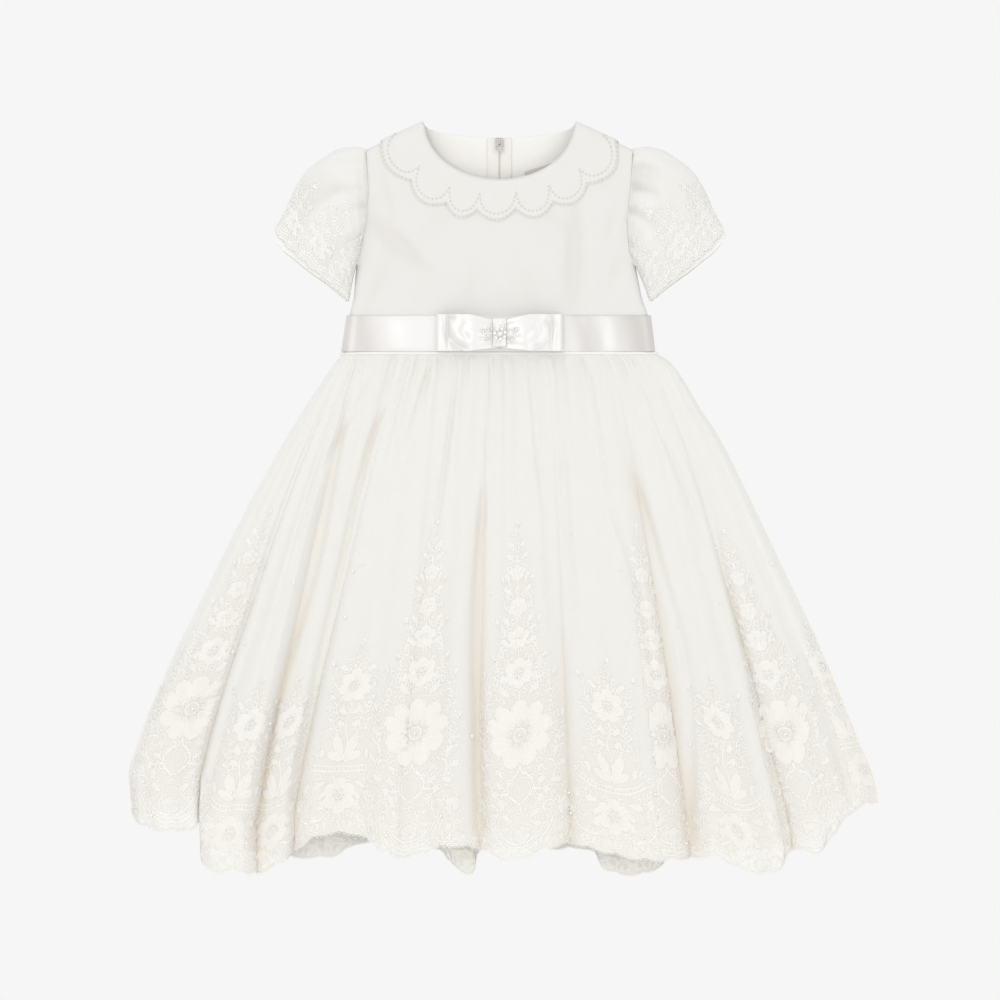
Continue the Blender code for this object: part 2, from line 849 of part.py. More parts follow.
def make_zip_slider():
    """A side view, extruded across: the bridge is narrower than the shoe."""
    top = SLIDER_LOW + SHOE_HEIGHT
    y_near = SLIDER_Y - SHOE_LENGTH / 2
    y_far = SLIDER_Y + SHOE_LENGTH / 2
    inner_half = BRIDGE_LENGTH / 2 - BRIDGE_BAR
    base = [
        (y_near, SLIDER_LOW + 0.5),
        (y_near + 0.8, SLIDER_LOW),
        (y_far - 0.8, SLIDER_LOW),
        (y_far, SLIDER_LOW + 0.5),
        (y_far, top - 0.5),
        (y_far - 0.8, top),
        (SLIDER_Y + BRIDGE_LENGTH / 2, top),
        (SLIDER_Y + inner_half, top),
        (SLIDER_Y - inner_half, top),
        (SLIDER_Y - BRIDGE_LENGTH / 2, top),
        (y_near + 0.8, top),
        (y_near, top - 0.5),
    ]
    arch = [
        (SLIDER_Y + BRIDGE_LENGTH / 2, top),
        (SLIDER_Y + BRIDGE_LENGTH / 2, top + BRIDGE_HIGH - 0.7),
        (SLIDER_Y + BRIDGE_LENGTH / 2 - 0.7, top + BRIDGE_HIGH),
        (SLIDER_Y - BRIDGE_LENGTH / 2 + 0.7, top + BRIDGE_HIGH),
        (SLIDER_Y - BRIDGE_LENGTH / 2, top + BRIDGE_HIGH - 0.7),
        (SLIDER_Y - BRIDGE_LENGTH / 2, top),
        (SLIDER_Y - inner_half, top),
        (SLIDER_Y - inner_half, top + BRIDGE_HIGH - BRIDGE_BAR),
        (SLIDER_Y + inner_half, top + BRIDGE_HIGH - BRIDGE_BAR),
        (SLIDER_Y + inner_half, top),
    ]
    shoe = extruded("zip_slider", base, SHOE_HALF)
    sink = 0.3
    arch = [(y, z - sink if z == top else z) for y, z in arch]
    bridge = extruded("zip_bridge", arch, BRIDGE_HALF)
    join(shoe, bridge)


def extruded(name, outline, half):
    """A side view in Y and Z, carried across from -half to half of the centre."""
    points = [(CENTRE_X - half, y, z) for y, z in outline]
    points += [(CENTRE_X + half, y, z) for y, z in outline]
    count = len(outline)
    faces = [tuple(range(count))[::-1], tuple(range(count, 2 * count))]
    for index in range(count):
        after = (index + 1) % count
        faces.append((index, after, count + after, count + index))
    return add_object(name, points, faces, bright_metal())


def join(item, other):
    """One body from two that overlap."""
    union = item.modifiers.new("Join", "BOOLEAN")
    union.operation = "UNION"
    union.object = other
    other.hide_render = True
    other.display_type = "WIRE"


def make_zip_pull():
    """A teardrop tab with a square eye whose bar passes under the slider's bridge."""
    bar = 0.4
    eye_half = BRIDGE_HALF + 0.5
    rim = 0.9
    eye_length = 3.6
    tab_length = 8.6
    tab_half = 2.4
    outline = [
        (-eye_half - rim, bar),
        (eye_half + rim, bar),
        (eye_half + rim, -eye_length),
        (tab_half, -eye_length - 2.0),
        (tab_half, -tab_length + 1.6),
        (tab_half - 1.2, -tab_length),
        (-tab_half + 1.2, -tab_length),
        (-tab_half, -tab_length + 1.6),
        (-tab_half, -eye_length - 2.0),
        (-eye_half - rim, -eye_length),
    ]
    eye = [
        (-eye_half, -bar),
        (eye_half, -bar),
        (eye_half, -eye_length),
        (-eye_half, -eye_length),
    ]
    body = flat_piece("zip_pull", outline, bar)
    cutter = flat_piece("zip_pull_eye", eye, 3 * bar)
    cut = body.modifiers.new("Eye", "BOOLEAN")
    cut.operation = "DIFFERENCE"
    cut.object = cutter
    cutter.hide_render = True
    cutter.display_type = "WIRE"


def flat_piece(name, outline, half):
    """A plate about the pull's axis, with its origin on that axis."""
    points = [(CENTRE_X + x, PIN_Y + y, PIN_Z - half) for x, y in outline]
    points += [(CENTRE_X + x, PIN_Y + y, PIN_Z + half) for x, y in outline]
    count = len(outline)
    faces = [tuple(range(count))[::-1], tuple(range(count, 2 * count))]
    for index in range(count):
        after = (index + 1) % count
        faces.append((index, after, count + after, count + index))
    return add_object(name, points, faces, bright_metal(), origin=(CENTRE_X, PIN_Y, PIN_Z))


def make_label():
    """A blank label inside the neck, a little askew."""
    middle = np.array([35.0, 284.0])
    half = np.array([15.0, 8.5])
    lean = math.radians(18)
    low = BACK_LOW + WALL + GAP
    outline = []
    for sign_x, sign_y in ((-1, -1), (1, -1), (1, 1), (-1, 1)):
        x, y = half * (sign_x, sign_y)
        turned = (x * math.cos(lean) - y * math.sin(lean), x * math.sin(lean) + y * math.cos(lean))
        outline.append(tuple(middle + turned))
    plate("neck_label", outline, low, low + 1.0, label_cloth())


def main():
    clear_scene()
    make_bodice_front()
    make_bodice_back(-1, "bodice_back_left")
    make_bodice_back(1, "bodice_back_right")
    make_collar()
    make_sleeve(-1, "sleeve_left")
    make_sleeve(1, "sleeve_right")
    make_skirt_front()
    make_skirt_back()
    make_lining()
    make_belt()
    make_bow_loop(-1, "bow_left")
    make_bow_loop(1, "bow_right")
    make_bow_knot()
    make_zip_tape(-1, "zip_tape_left")
    make_zip_tape(1, "zip_tape_right")
    make_zip_slider()
    make_zip_pull()
    make_label()


main()
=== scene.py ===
"""Looks of the toddler's organza dress, laid flat on its back and seen from straight above.

X runs to the right, Y from the hem to the neck and Z up from the surface that the dress lies on.
Sizes are in millimetres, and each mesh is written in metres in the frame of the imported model.
A surface is a grid of points: u runs across it from 0 to 1, and v down it from 0 to 1.
"""

import json
import math
from collections import namedtuple

import bpy
import numpy as np
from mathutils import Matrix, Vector

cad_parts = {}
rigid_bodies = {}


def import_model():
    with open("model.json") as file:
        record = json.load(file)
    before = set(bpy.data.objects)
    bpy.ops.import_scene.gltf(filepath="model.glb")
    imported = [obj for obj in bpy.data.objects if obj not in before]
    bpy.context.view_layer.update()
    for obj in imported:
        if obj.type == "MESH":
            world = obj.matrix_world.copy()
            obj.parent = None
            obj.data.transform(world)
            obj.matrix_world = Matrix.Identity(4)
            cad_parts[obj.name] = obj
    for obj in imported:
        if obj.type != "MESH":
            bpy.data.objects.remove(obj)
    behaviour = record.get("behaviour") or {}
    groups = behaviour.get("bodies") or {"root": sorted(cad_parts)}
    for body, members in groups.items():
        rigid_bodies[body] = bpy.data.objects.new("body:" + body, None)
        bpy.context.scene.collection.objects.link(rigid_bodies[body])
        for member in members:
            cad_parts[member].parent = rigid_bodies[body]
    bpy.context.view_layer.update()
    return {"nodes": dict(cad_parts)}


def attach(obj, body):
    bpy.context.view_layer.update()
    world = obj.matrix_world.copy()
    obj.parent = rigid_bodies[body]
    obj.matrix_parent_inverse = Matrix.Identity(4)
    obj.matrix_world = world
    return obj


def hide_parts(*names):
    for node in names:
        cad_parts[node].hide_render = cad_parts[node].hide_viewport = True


MM = 0.001
ORIGIN_X = -0.45
ORIGIN_Y = 0.39

# Cloth and seams
WALL = 1.2
GAP = 0.3
PIECE = GAP + WALL

# The flattened bodice: the two walls are joined along round edges
CENTRE_X = -4.0
BODICE_HIGH = 16.0
BACK_LOW = PIECE
EDGE_RADIUS = (BODICE_HIGH - BACK_LOW - GAP) / 2
MIDDLE_Z = (BODICE_HIGH + BACK_LOW) / 2
TURN_EASE = 1.0
WAIST_Y = 127.0
UNDERARM_Y = 203.0
SHOULDER_HALF = 116.0
SHOULDER_Y = 307.0

# The neck: half an ellipse in front, a shallower one behind
NECK_HALF = 66.5
NECK_Y = 329.5
NECK_FRONT_DEPTH = 50.5
NECK_BACK_DEPTH = 11.8

# The ribbon
BELT_TOP_Y = 160.0
BELT_LOW_Y = 128.5

# The skirt and its lining
SKIRT_WAIST_Z = 14.5
SKIRT_EDGE_Z = 2.9
SKIRT_EDGE_ROUND = 12.0
SKIRT_LOW_Z = PIECE + WALL
LINING_HIGH = 9.2
LINING_HEM_Y = -272.0
LINING_HEM_BOW = 16.0

# The zip
ZIP_TOP_Y = 316.5
ZIP_LOW_Y = 136.0
TAPE_WIDTH = 11.0
SLIDER_Y = 313.0

Side = namedtuple("Side", "y left right")
Fold = namedtuple("Fold", "waist_x hem_x hem_y crest")
Corner = namedtuple("Corner", "x y")
Cusp = namedtuple("Cusp", "x y neck_angle bulge")
Out = namedtuple("Out", "out y")
Crease = namedtuple("Crease", "x y along_x along_y width length height")


def rows_of(kind, rows):
    return [kind(*row) for row in rows]


TORSO = rows_of(Side, [
    (307, -120, 112), (271, -118, 110), (243, -120, 107), (216, -125, 109),
    (203, -130, 116), (177, -132, 121), (160, -136, 127), (127, -141, 131),
])

SKIRT_LEFT = rows_of(Corner, [
    (-143, 127), (-165, 96), (-196, 46), (-231, -17), (-264, -84), (-292, -140),
    (-312, -185), (-326, -224), (-331, -241), (-328, -277),
])

SKIRT_RIGHT = rows_of(Corner, [
    (135, 127), (151, 115), (173, 79), (191, 51), (219, -5), (246, -62),
    (275, -123), (303, -190), (326, -246), (330, -267),
])

# Folds of the skirt's front from left to right: ridges stand high on the hem and valleys lie low
FOLDS = [
    Fold(-143, -328, -277, 3),
    Fold(-142, -318, -287, 15),
    Fold(-140, -298, -291, 25),
    Fold(-138, -275, -290, 19),
    Fold(-135.5, -265, -286, 12),
    Fold(-133, -265.5, -317, 19),
    Fold(-130, -252, -327, 29),
    Fold(-128, -234, -325, 31),
    Fold(-125, -217, -329, 12.5),
    Fold(-106, -196, -320, 21),
    Fold(-88, -185, -310, 11.5),
    Fold(-79, -162, -295, 24),
    Fold(-70, -129, -293, 33),
    Fold(-59, -106, -309, 28),
    Fold(-48, -92, -314, 26),
    Fold(-38, -73, -311, 31),
    Fold(-27, -51, -304, 25),
    Fold(-16, -22, -307, 11.5),
    Fold(-1, 5, -317, 25),
    Fold(18, 33, -308, 27),
    Fold(36, 58, -302, 16),
    Fold(55, 85, -308, 28),
    Fold(74, 120, -315, 33),
    Fold(92, 163, -316, 11.5),
    Fold(103, 185, -314, 25),
    Fold(112, 213, -326, 32),
    Fold(118, 239, -327, 24),
    Fold(123, 253, -308, 12.5),
    Fold(128, 276, -310, 23),
    Fold(130, 296, -285, 20),
    Fold(133, 312, -271, 14),
    Fold(135, 330, -267, 3),
]

# The back's hem, which shows below the front's where the front is drawn up
BACK_HEM = rows_of(Corner, [
    (-303, -276), (-268, -280), (-237, -303), (-213, -312), (-180, -316), (-149, -314),
    (-127, -303), (-92, -306), (-58, -308), (-48, -320), (-28, -331), (-21, -310),
    (10, -306), (46, -308), (76, -309), (90, -327), (118, -331), (137, -324),
    (157, -310), (208, -310), (252, -303), (278, -290), (304, -268),
])

# The collar's outer edge: where its scallops meet, the place on the neck and the scallop that follows
FRONT_SCALLOPS = [
    Cusp(-108.0, 312.5, 180, 10),
    Cusp(-82, 278, 205, 11),
    Cusp(-51, 258, 233, 10),
    Cusp(-24, 252, 257, 10),
    Cusp(10, 253, 283, 11),
    Cusp(43, 259, 307, 10),
    Cusp(73, 275, 335, 14),
    Cusp(98.0, 313.2, 360, 0),
]
BACK_SCALLOPS = [
    Cusp(-108.0, 312.5, 180, 10),
    Cusp(-80, 287, 212, 10),
    Cusp(-45, 278, 242, 9),
    Cusp(-6, 279, 268, 0),
]

SLEEVE_TOP = rows_of(Out, [
    (116, 307), (128, 309), (143, 306), (155, 299),
    (170, 287), (181, 270), (190, 250), (201, 232),
])
SLEEVE_CUFF = rows_of(Out, [
    (201, 232), (191, 218), (180, 209), (168, 199),
    (154, 189), (144, 181), (133, 172),
])

# Soft creases and swellings of the bodice's front
CREASES = [
    Crease(-4, 215, 0.0, 1.0, 75, 60, 3.0),
    Crease(-92, 222, 0.75, -0.66, 9, 26, -1.6),
    Crease(61, 205, 0.05, 1.0, 9, 34, -1.8),
    Crease(83, 205, 0.0, 1.0, 10, 34, 1.4),
]

# Where the camera stands, and the piece of the surface that fills its picture
VIEW_X = -3.5
VIEW_Y = -1.8
VIEW_WIDTH = 880.0
VIEW_HEIGHT = 4000.0
VIEW_LEVEL = 8.0
SENSOR = 36.0

# Embroidery threads
CORD_WIDTH = 1.0
CORD_HIGH = 0.31
FILL_HIGH = 0.2
FILL_TONE = 0.9
CUPPED = 0.4

# Deep narrow folds of the skirt's front, from the waist down
Trough = namedtuple("Trough", "path width depth")
TROUGHS = [
    Trough([(-135, 94), (-150, 16), (-167, -67), (-199, -181), (-219, -307)], 3.2, 3.2),
    Trough([(-92, 106), (-114, 59), (-131, -2), (-141, -49), (-167, -164), (-186, -262)], 3.4, 3.5),
    Trough([(-17, 21), (-23, -60), (-25, -143), (-21, -290)], 4.2, 5.4),
    Trough([(108, 40), (135, -49), (162, -164), (164, -300)], 4.2, 3.6),
    Trough([(177, 9), (211, -134), (241, -260), (250, -300)], 3.4, 2.5),
    Trough([(-64, 122), (-79, 69), (-92, 30)], 2.6, 2.4),
    Trough([(-40, 118), (-54, 13), (-60, -30)], 2.6, 2.6),
    Trough([(73, 122), (87, 32), (93, -10)], 2.6, 2.6),
    Trough([(89, 2), (117, -77), (136, -191)], 3.0, 2.6),
    Trough([(50, 60), (57, -55), (57, -178)], 4.0, 1.5),
    Trough([(-12, 122), (-12, 80), (-16, 20)], 2.4, 2.0),
    Trough([(22, 122), (27, 60), (36, -20)], 2.4, 2.0),
    Trough([(118, 100), (150, 30), (182, -50)], 3.0, 2.0),
    Trough([(-112, 112), (-140, 62), (-176, -10)], 3.0, 1.8),
    Trough([(-270, -120), (-286, -180), (-298, -250)], 4.0, 1.8),
    Trough([(262, -130), (288, -200), (300, -260)], 4.0, 1.6),
]

# Soft creases of the bodice's front, finer than those of its solid
FINE_CREASES = [
    Crease(-106, 232, 0.55, -0.83, 5, 18, -1.3),
    Crease(-84, 218, 0.70, -0.71, 6, 30, -1.0),
    Crease(-72, 222, 0.70, -0.71, 7, 30, 1.0),
    Crease(-101, 262, 0.20, -0.98, 4, 22, -1.0),
    Crease(93, 238, -0.25, -0.97, 4, 20, -1.1),
    Crease(62, 226, 0.02, 1.0, 6, 40, -1.4),
    Crease(75, 200, 0.0, 1.0, 6, 40, 1.1),
    Crease(96, 196, 0.30, 0.95, 5, 22, -1.0),
    Crease(-46, 180, 0.25, 0.97, 8, 26, 0.8),
    Crease(-30, 184, 0.15, 0.99, 7, 26, -0.6),
    Crease(22, 178, -0.15, 0.99, 8, 24, -0.6),
    Crease(-112, 186, 0.40, 0.92, 5, 24, -1.0),
    Crease(48, 242, 0.92, -0.40, 7, 34, -0.6),
    Crease(-62, 240, 0.9, 0.43, 7, 30, -0.6),
]


def spread(values, share):
    """A table spread evenly over a share from 0 to 1: the row before each place, and the part past it."""
    table = np.array(values, float)
    place = np.clip(share, 0.0, 1.0) * (len(table) - 1)
    start = np.minimum(place.astype(int), len(table) - 2)
    return table, start, place - start


def along(rows, share):
    """A smooth curve through rows of numbers."""
    table, start, part = spread(rows, share)
    part = part[..., None]
    before = table[np.maximum(start - 1, 0)]
    first = table[start]
    second = table[start + 1]
    after = table[np.minimum(start + 2, len(table) - 1)]
    bend = 2 * before - 5 * first + 4 * second - after
    twist = 3 * (first - second) + after - before
    return first + 0.5 * part * (second - before + part * (bend + part * twist))


def eased(values, share):
    """Like along, for one column, but level at each value, so that it never overshoots."""
    table, start, part = spread(values, share)
    turn = 0.5 - 0.5 * np.cos(math.pi * part)
    return table[start] * (1 - turn) + table[start + 1] * turn


def smooth(share):
    """A soft step from 0 to 1."""
    share = np.clip(share, 0.0, 1.0)
    return share * share * (3 - 2 * share)


def unit(vectors):
    """Vectors scaled to a length of 1."""
    return vectors / np.maximum(np.linalg.norm(vectors, axis=-1, keepdims=True), 1e-9)


def lengths(line):
    """How far along a line each of its points lies, for one line or for several side by side."""
    steps = np.linalg.norm(np.diff(line, axis=0), axis=-1)
    return np.concatenate([np.zeros_like(steps[:1]), np.cumsum(steps, axis=0)])


def beside(point, start, end):
    """The share along a straight run that lies nearest to points, and their distance from it."""
    run = end - start
    share = np.clip((point - start) @ run / (run @ run), 0.0, 1.0)
    return share, np.linalg.norm(point - start - share[..., None] * run, axis=-1)


def torso_edge(side, y):
    """X of the bodice's side or armhole at a height, on the side -1 or 1."""
    heights = [row.y for row in TORSO][::-1]
    edges = [row.left if side < 0 else row.right for row in TORSO][::-1]
    return np.interp(y, heights, edges)


def shoulder_tip(side):
    return np.array([CENTRE_X + side * SHOULDER_HALF, SHOULDER_Y])


def neck_point(side):
    return np.array([CENTRE_X + side * NECK_HALF, NECK_Y])


def neck_curve(angle, depth):
    """Points of the neck's edge, at angles from 180 degrees at the left round to 360 at the right."""
    turn = np.radians(angle)
    return np.stack([CENTRE_X + NECK_HALF * np.cos(turn), NECK_Y + depth * np.sin(turn)], -1)


def closing_segments():
    """The lines along which front and back meet, each with its outward direction."""
    found = []
    for side in (-1, 1):
        runs = [(shoulder_tip(side), neck_point(side))]
        rows = [row for row in TORSO if row.y <= UNDERARM_Y]
        corners = [np.array([float(torso_edge(side, row.y)), row.y]) for row in rows]
        runs += list(zip(corners, corners[1:]))
        for start, end in runs:
            run = unit(end - start)
            outward = np.array([run[1], -run[0]])
            inside = np.array([CENTRE_X, UNDERARM_Y]) - start
            found.append((start, end, -outward if outward @ inside > 0 else outward))
    return found


CLOSINGS = closing_segments()


def nearest_closing(x, y):
    """The distances to the line where front and back meet, and its outward directions."""
    point = np.stack([x, y], -1)
    best = np.full(x.shape, 1e9)
    direction = np.zeros(point.shape)
    for start, end, outward in CLOSINGS:
        distance = beside(point, start, end)[1]
        nearer = distance < best
        best = np.where(nearer, distance, best)
        direction[nearer] = outward
    return best, direction


def creased(x, y, rows):
    """How far the bodice's front swells or sinks."""
    height = np.zeros(x.shape)
    for row in rows:
        ahead = (x - row.x) * row.along_x + (y - row.y) * row.along_y
        aside = (x - row.x) * row.along_y - (y - row.y) * row.along_x
        height += row.height * bump(aside, 0, row.width) * bump(ahead, 0, row.length)
    return height


def torso(x, y, side, lift, floor=0.0):
    """Points of the bodice's front (side 1) or back (-1), moved out by a lift; side 0 is on the fold."""
    distance, outward = nearest_closing(x, y)
    side = np.broadcast_to(side, x.shape)
    lift = np.broadcast_to(lift, x.shape).astype(float)
    level = 1 - np.minimum(distance / EDGE_RADIUS, 1.0)
    upright = np.sqrt(1 - level * level)
    lift = lift + np.where(lift > 0, TURN_EASE * level, 0.0)
    rise = (EDGE_RADIUS + lift) * upright + GAP / 2
    height = MIDDLE_Z + side * rise
    swell = creased(x, y, CREASES) + creased(x, y, FINE_CREASES)
    height = height + np.where(side > 0, swell * np.minimum(distance / 30, 1.0), 0.0)
    moved = np.stack([x, y], -1) + outward * (lift * level)[..., None]
    return np.stack([moved[..., 0], moved[..., 1], np.maximum(height, floor)], -1)


def shares(count):
    return np.linspace(0.0, 1.0, count + 1)


def crossed(across, down):
    """Pairs of shares of a grid, as two arrays."""
    return np.meshgrid(np.asarray(across, float), np.asarray(down, float), indexing="ij")


def patch(bottom, top, left, right):
    """A flat patch between four edges, each a function of shares from 0 to 1."""

    def place(u, v):
        a = u[..., None]
        b = v[..., None]
        none = np.zeros(u.shape)
        full = np.ones(u.shape)
        sides = (1 - a) * left(v) + a * right(v)
        ends = (1 - b) * bottom(u) + b * top(u)
        flat = (1 - b) * ((1 - a) * bottom(none) + a * bottom(full))
        flat = flat + b * ((1 - a) * top(none) + a * top(full))
        return sides + ends - flat

    return place


def run_between(first, last):
    """A straight edge, as a function of shares."""
    return lambda share: first + (last - first) * share[..., None]


def torso_side(side):
    """The edge of the bodice from the waist up the side and the armhole to the shoulder."""

    def place(v):
        y = WAIST_Y + GAP + v * (SHOULDER_Y - WAIST_Y - GAP)
        return np.stack([torso_edge(side, y), y], -1)

    return place


def normals_of(points, upward=True):
    """Directions square to a grid of points, up or away from its middle."""
    normal = unit(np.cross(np.gradient(points, axis=0), np.gradient(points, axis=1)))
    facing = normal[..., 2] if upward else (normal * (points - points.mean(axis=(0, 1)))).sum(axis=2)
    return normal * (1 if facing.sum() > 0 else -1)


def ruffle(u, seed, count):
    """A repeatable uneven wave from -1 to 1 across a share."""
    return eased(np.random.default_rng(seed).uniform(-1, 1, count + 1), u)


def placed_object(name, data):
    """An object in the scene that holds a mesh, a lamp or a camera."""
    item = bpy.data.objects.new(name, data)
    bpy.context.scene.collection.objects.link(item)
    return item


def new_mesh(name, points, faces, material):
    """A named smooth object from points in millimetres and faces."""
    shift = np.array([ORIGIN_X, ORIGIN_Y, 0.0])
    placed = (np.asarray(points, float).reshape(-1, 3) - shift) * MM
    mesh = bpy.data.meshes.new(name)
    mesh.from_pydata(placed.tolist(), [], faces)
    mesh.materials.append(material)
    mesh.shade_smooth()
    return placed_object(name, mesh)


def shaded(item, values):
    """Keeps for each point of a mesh the share of its material's darker colour: painted shade in folds,
    creases and hollows, and on the lace also the fills' own tone.
    """
    layer = item.data.attributes.new("fold_shade", "FLOAT", "POINT")
    layer.data.foreach_set("value", np.asarray(values, np.float32).ravel())


def dressed(item, node=None, tone=None):
    """Puts a piece on the dress: the solid it stands for and, where it has them, the shares of its darker
    colour, which are mostly painted shade.
    """
    if tone is not None:
        shaded(item, tone)
    if node:
        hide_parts(node)
    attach(item, "dress")


def bump(x, middle, width):
    """A soft hill of height 1 about a middle."""
    return np.exp(-(((x - middle) / width) ** 2))


def sheet_faces(rows, columns, closed=False, start=0):
    """The faces of a grid; a closed one joins its last row to its first."""
    faces = []
    for row in range(rows if closed else rows - 1):
        after = (row + 1) % rows
        for column in range(columns - 1):
            a = start + row * columns + column
            b = start + after * columns + column
            faces.append((a, b, b + 1, a + 1))
    return faces


def ridge_faces(count):
    """The faces of a raised thread, which has two feet and a crest at each of its places."""
    return [(a, d, c, b) for a, b, c, d in sheet_faces(count, 3)]


def skin(name, points, material, closed=False):
    """One thin layer of cloth over a grid."""
    return new_mesh(name, points, sheet_faces(*points.shape[:2], closed), material)


def double_skin(name, outer, inner, material):
    """Cloth with a turned edge: two layers that are joined all round."""
    rows, columns = outer.shape[:2]
    count = rows * columns
    faces = [face[::-1] for face in sheet_faces(rows, columns)]
    faces += sheet_faces(rows, columns, start=count)
    rim = [row * columns for row in range(rows)]
    rim += [(rows - 1) * columns + column for column in range(1, columns)]
    rim += [row * columns + columns - 1 for row in range(rows - 2, -1, -1)]
    rim += list(range(columns - 2, 0, -1))
    for index, point in enumerate(rim):
        after = rim[(index + 1) % len(rim)]
        faces.append((point, after, count + after, count + point))
    return new_mesh(name, np.concatenate([outer.reshape(-1, 3), inner.reshape(-1, 3)]), faces, material)


class Surface:
    """A grid of points that other work lies on: u across it and v down to its hem."""

    def __init__(self, points, across, down, shade=None):
        self.points = points
        self.shade = np.zeros(points.shape[:2]) if shade is None else shade
        self.across = np.asarray(across, float)
        self.down = np.asarray(down, float)
        self.normals = normals_of(points)
        self.reach = lengths(points)
        fallen = lengths(points.swapaxes(0, 1)).T
        self.above = fallen[:, -1:] - fallen

    def nearest(self, share):
        """The row of the grid nearest to a share across."""
        return int(np.argmin(np.abs(self.across - share)))

    def at(self, row, column, lift):
        """Points at rows and columns counted in fractions, raised by a lift; it runs on past the hem."""
        i = np.clip(row.astype(int), 0, self.points.shape[0] - 2)
        j = np.clip(column.astype(int), 0, self.points.shape[1] - 2)
        a = (row - i)[:, None]
        b = (column - j)[:, None]
        found = []
        for grid in (self.points, self.normals):
            near = grid[i, j] * (1 - a) + grid[i + 1, j] * a
            far = grid[i, j + 1] * (1 - a) + grid[i + 1, j + 1] * a
            found.append(near * (1 - b) + far * b)
        return found[0] + found[1] * np.asarray(lift)[:, None]

    def motif(self, foot, a, h, lift):
        """Points a aside from and h above the hem's point at u = foot, and which of them are on the cloth."""
        middle = self.nearest(foot)
        last = self.points.shape[1] - 1
        ladder = self.above[middle][::-1]
        column = np.interp(h, ladder, np.arange(last, -1, -1.0))
        column = np.where(h < 0, last - h / self.above[middle, -2], column)
        low = np.clip(column.astype(int), 0, last - 1)
        part = np.clip(column - low, 0.0, 1.0)
        row = np.zeros(a.shape)
        inside = np.ones(a.shape, bool)
        counts = np.arange(len(self.across), dtype=float)
        for start in np.unique(low):
            here = low == start
            for step, weight in ((0, 1 - part[here]), (1, part[here])):
                reach = self.reach[:, start + step]
                target = reach[middle] + a[here]
                row[here] += weight * np.interp(target, reach, counts)
                inside[here] &= (target >= reach[0]) & (target <= reach[-1])
        return self.at(row, column, lift), inside, np.interp(row, counts, self.across)

    def border(self, s, h, lift):
        """Points s along the hem from its left end and h above it."""
        counts = np.arange(len(self.across), dtype=float)
        row = np.interp(s, self.reach[:, -1], counts)
        near = np.clip(np.round(row).astype(int), 0, len(counts) - 1)
        last = self.points.shape[1] - 1
        back = 6
        pace = self.above[near, last - back] / back
        return self.at(row, last - h / pace, lift)

    def shade_near(self, points, cell=2.5):
        """The shade of the cloth near points, read from a coarse map."""
        low = self.points[..., :2].min(axis=(0, 1)) - 2 * cell
        size = ((self.points[..., :2].max(axis=(0, 1)) - low) / cell).astype(int) + 3
        total = np.zeros(size)
        count = np.full(size, 1e-6)
        spots = ((self.points[..., :2].reshape(-1, 2) - low) / cell).astype(int)
        np.add.at(total, (spots[:, 0], spots[:, 1]), self.shade.ravel())
        np.add.at(count, (spots[:, 0], spots[:, 1]), 1.0)
        place = np.clip(((points[:, :2] - low) / cell).astype(int), 0, size - 1)
        return (total / count)[place[:, 0], place[:, 1]]

    def tint_ground(self, foot, cell, rows, amount):
        """Deepens the cloth a little under a motif's ground, within a half width at each height: the denser
        net's tone and painted shade between the threads.
        """
        soft_edge = 14.0
        middle = self.nearest(foot)
        aside = np.abs(self.reach - self.reach[middle])
        wide = np.interp(self.above, [row[0] for row in rows], [row[1] for row in rows], right=0.0)
        inside = smooth((wide - aside) / soft_edge + 0.5)
        inside[(self.across < cell[0]) | (self.across > cell[1])] = 0.0
        self.shade = np.clip(self.shade + amount * inside, 0.0, 1.0)

    def hem_share(self, x):
        """The share across at which the hem passes a place in X."""
        return float(np.interp(x, self.points[:, -1, 0], self.across))


class Joined:
    """Small meshes that are gathered into one."""

    def __init__(self):
        self.points = []
        self.faces = []
        self.count = 0

    def add(self, points, faces):
        self.points.append(points)
        self.faces += [tuple(index + self.count for index in face) for face in faces]
        self.count += len(points)


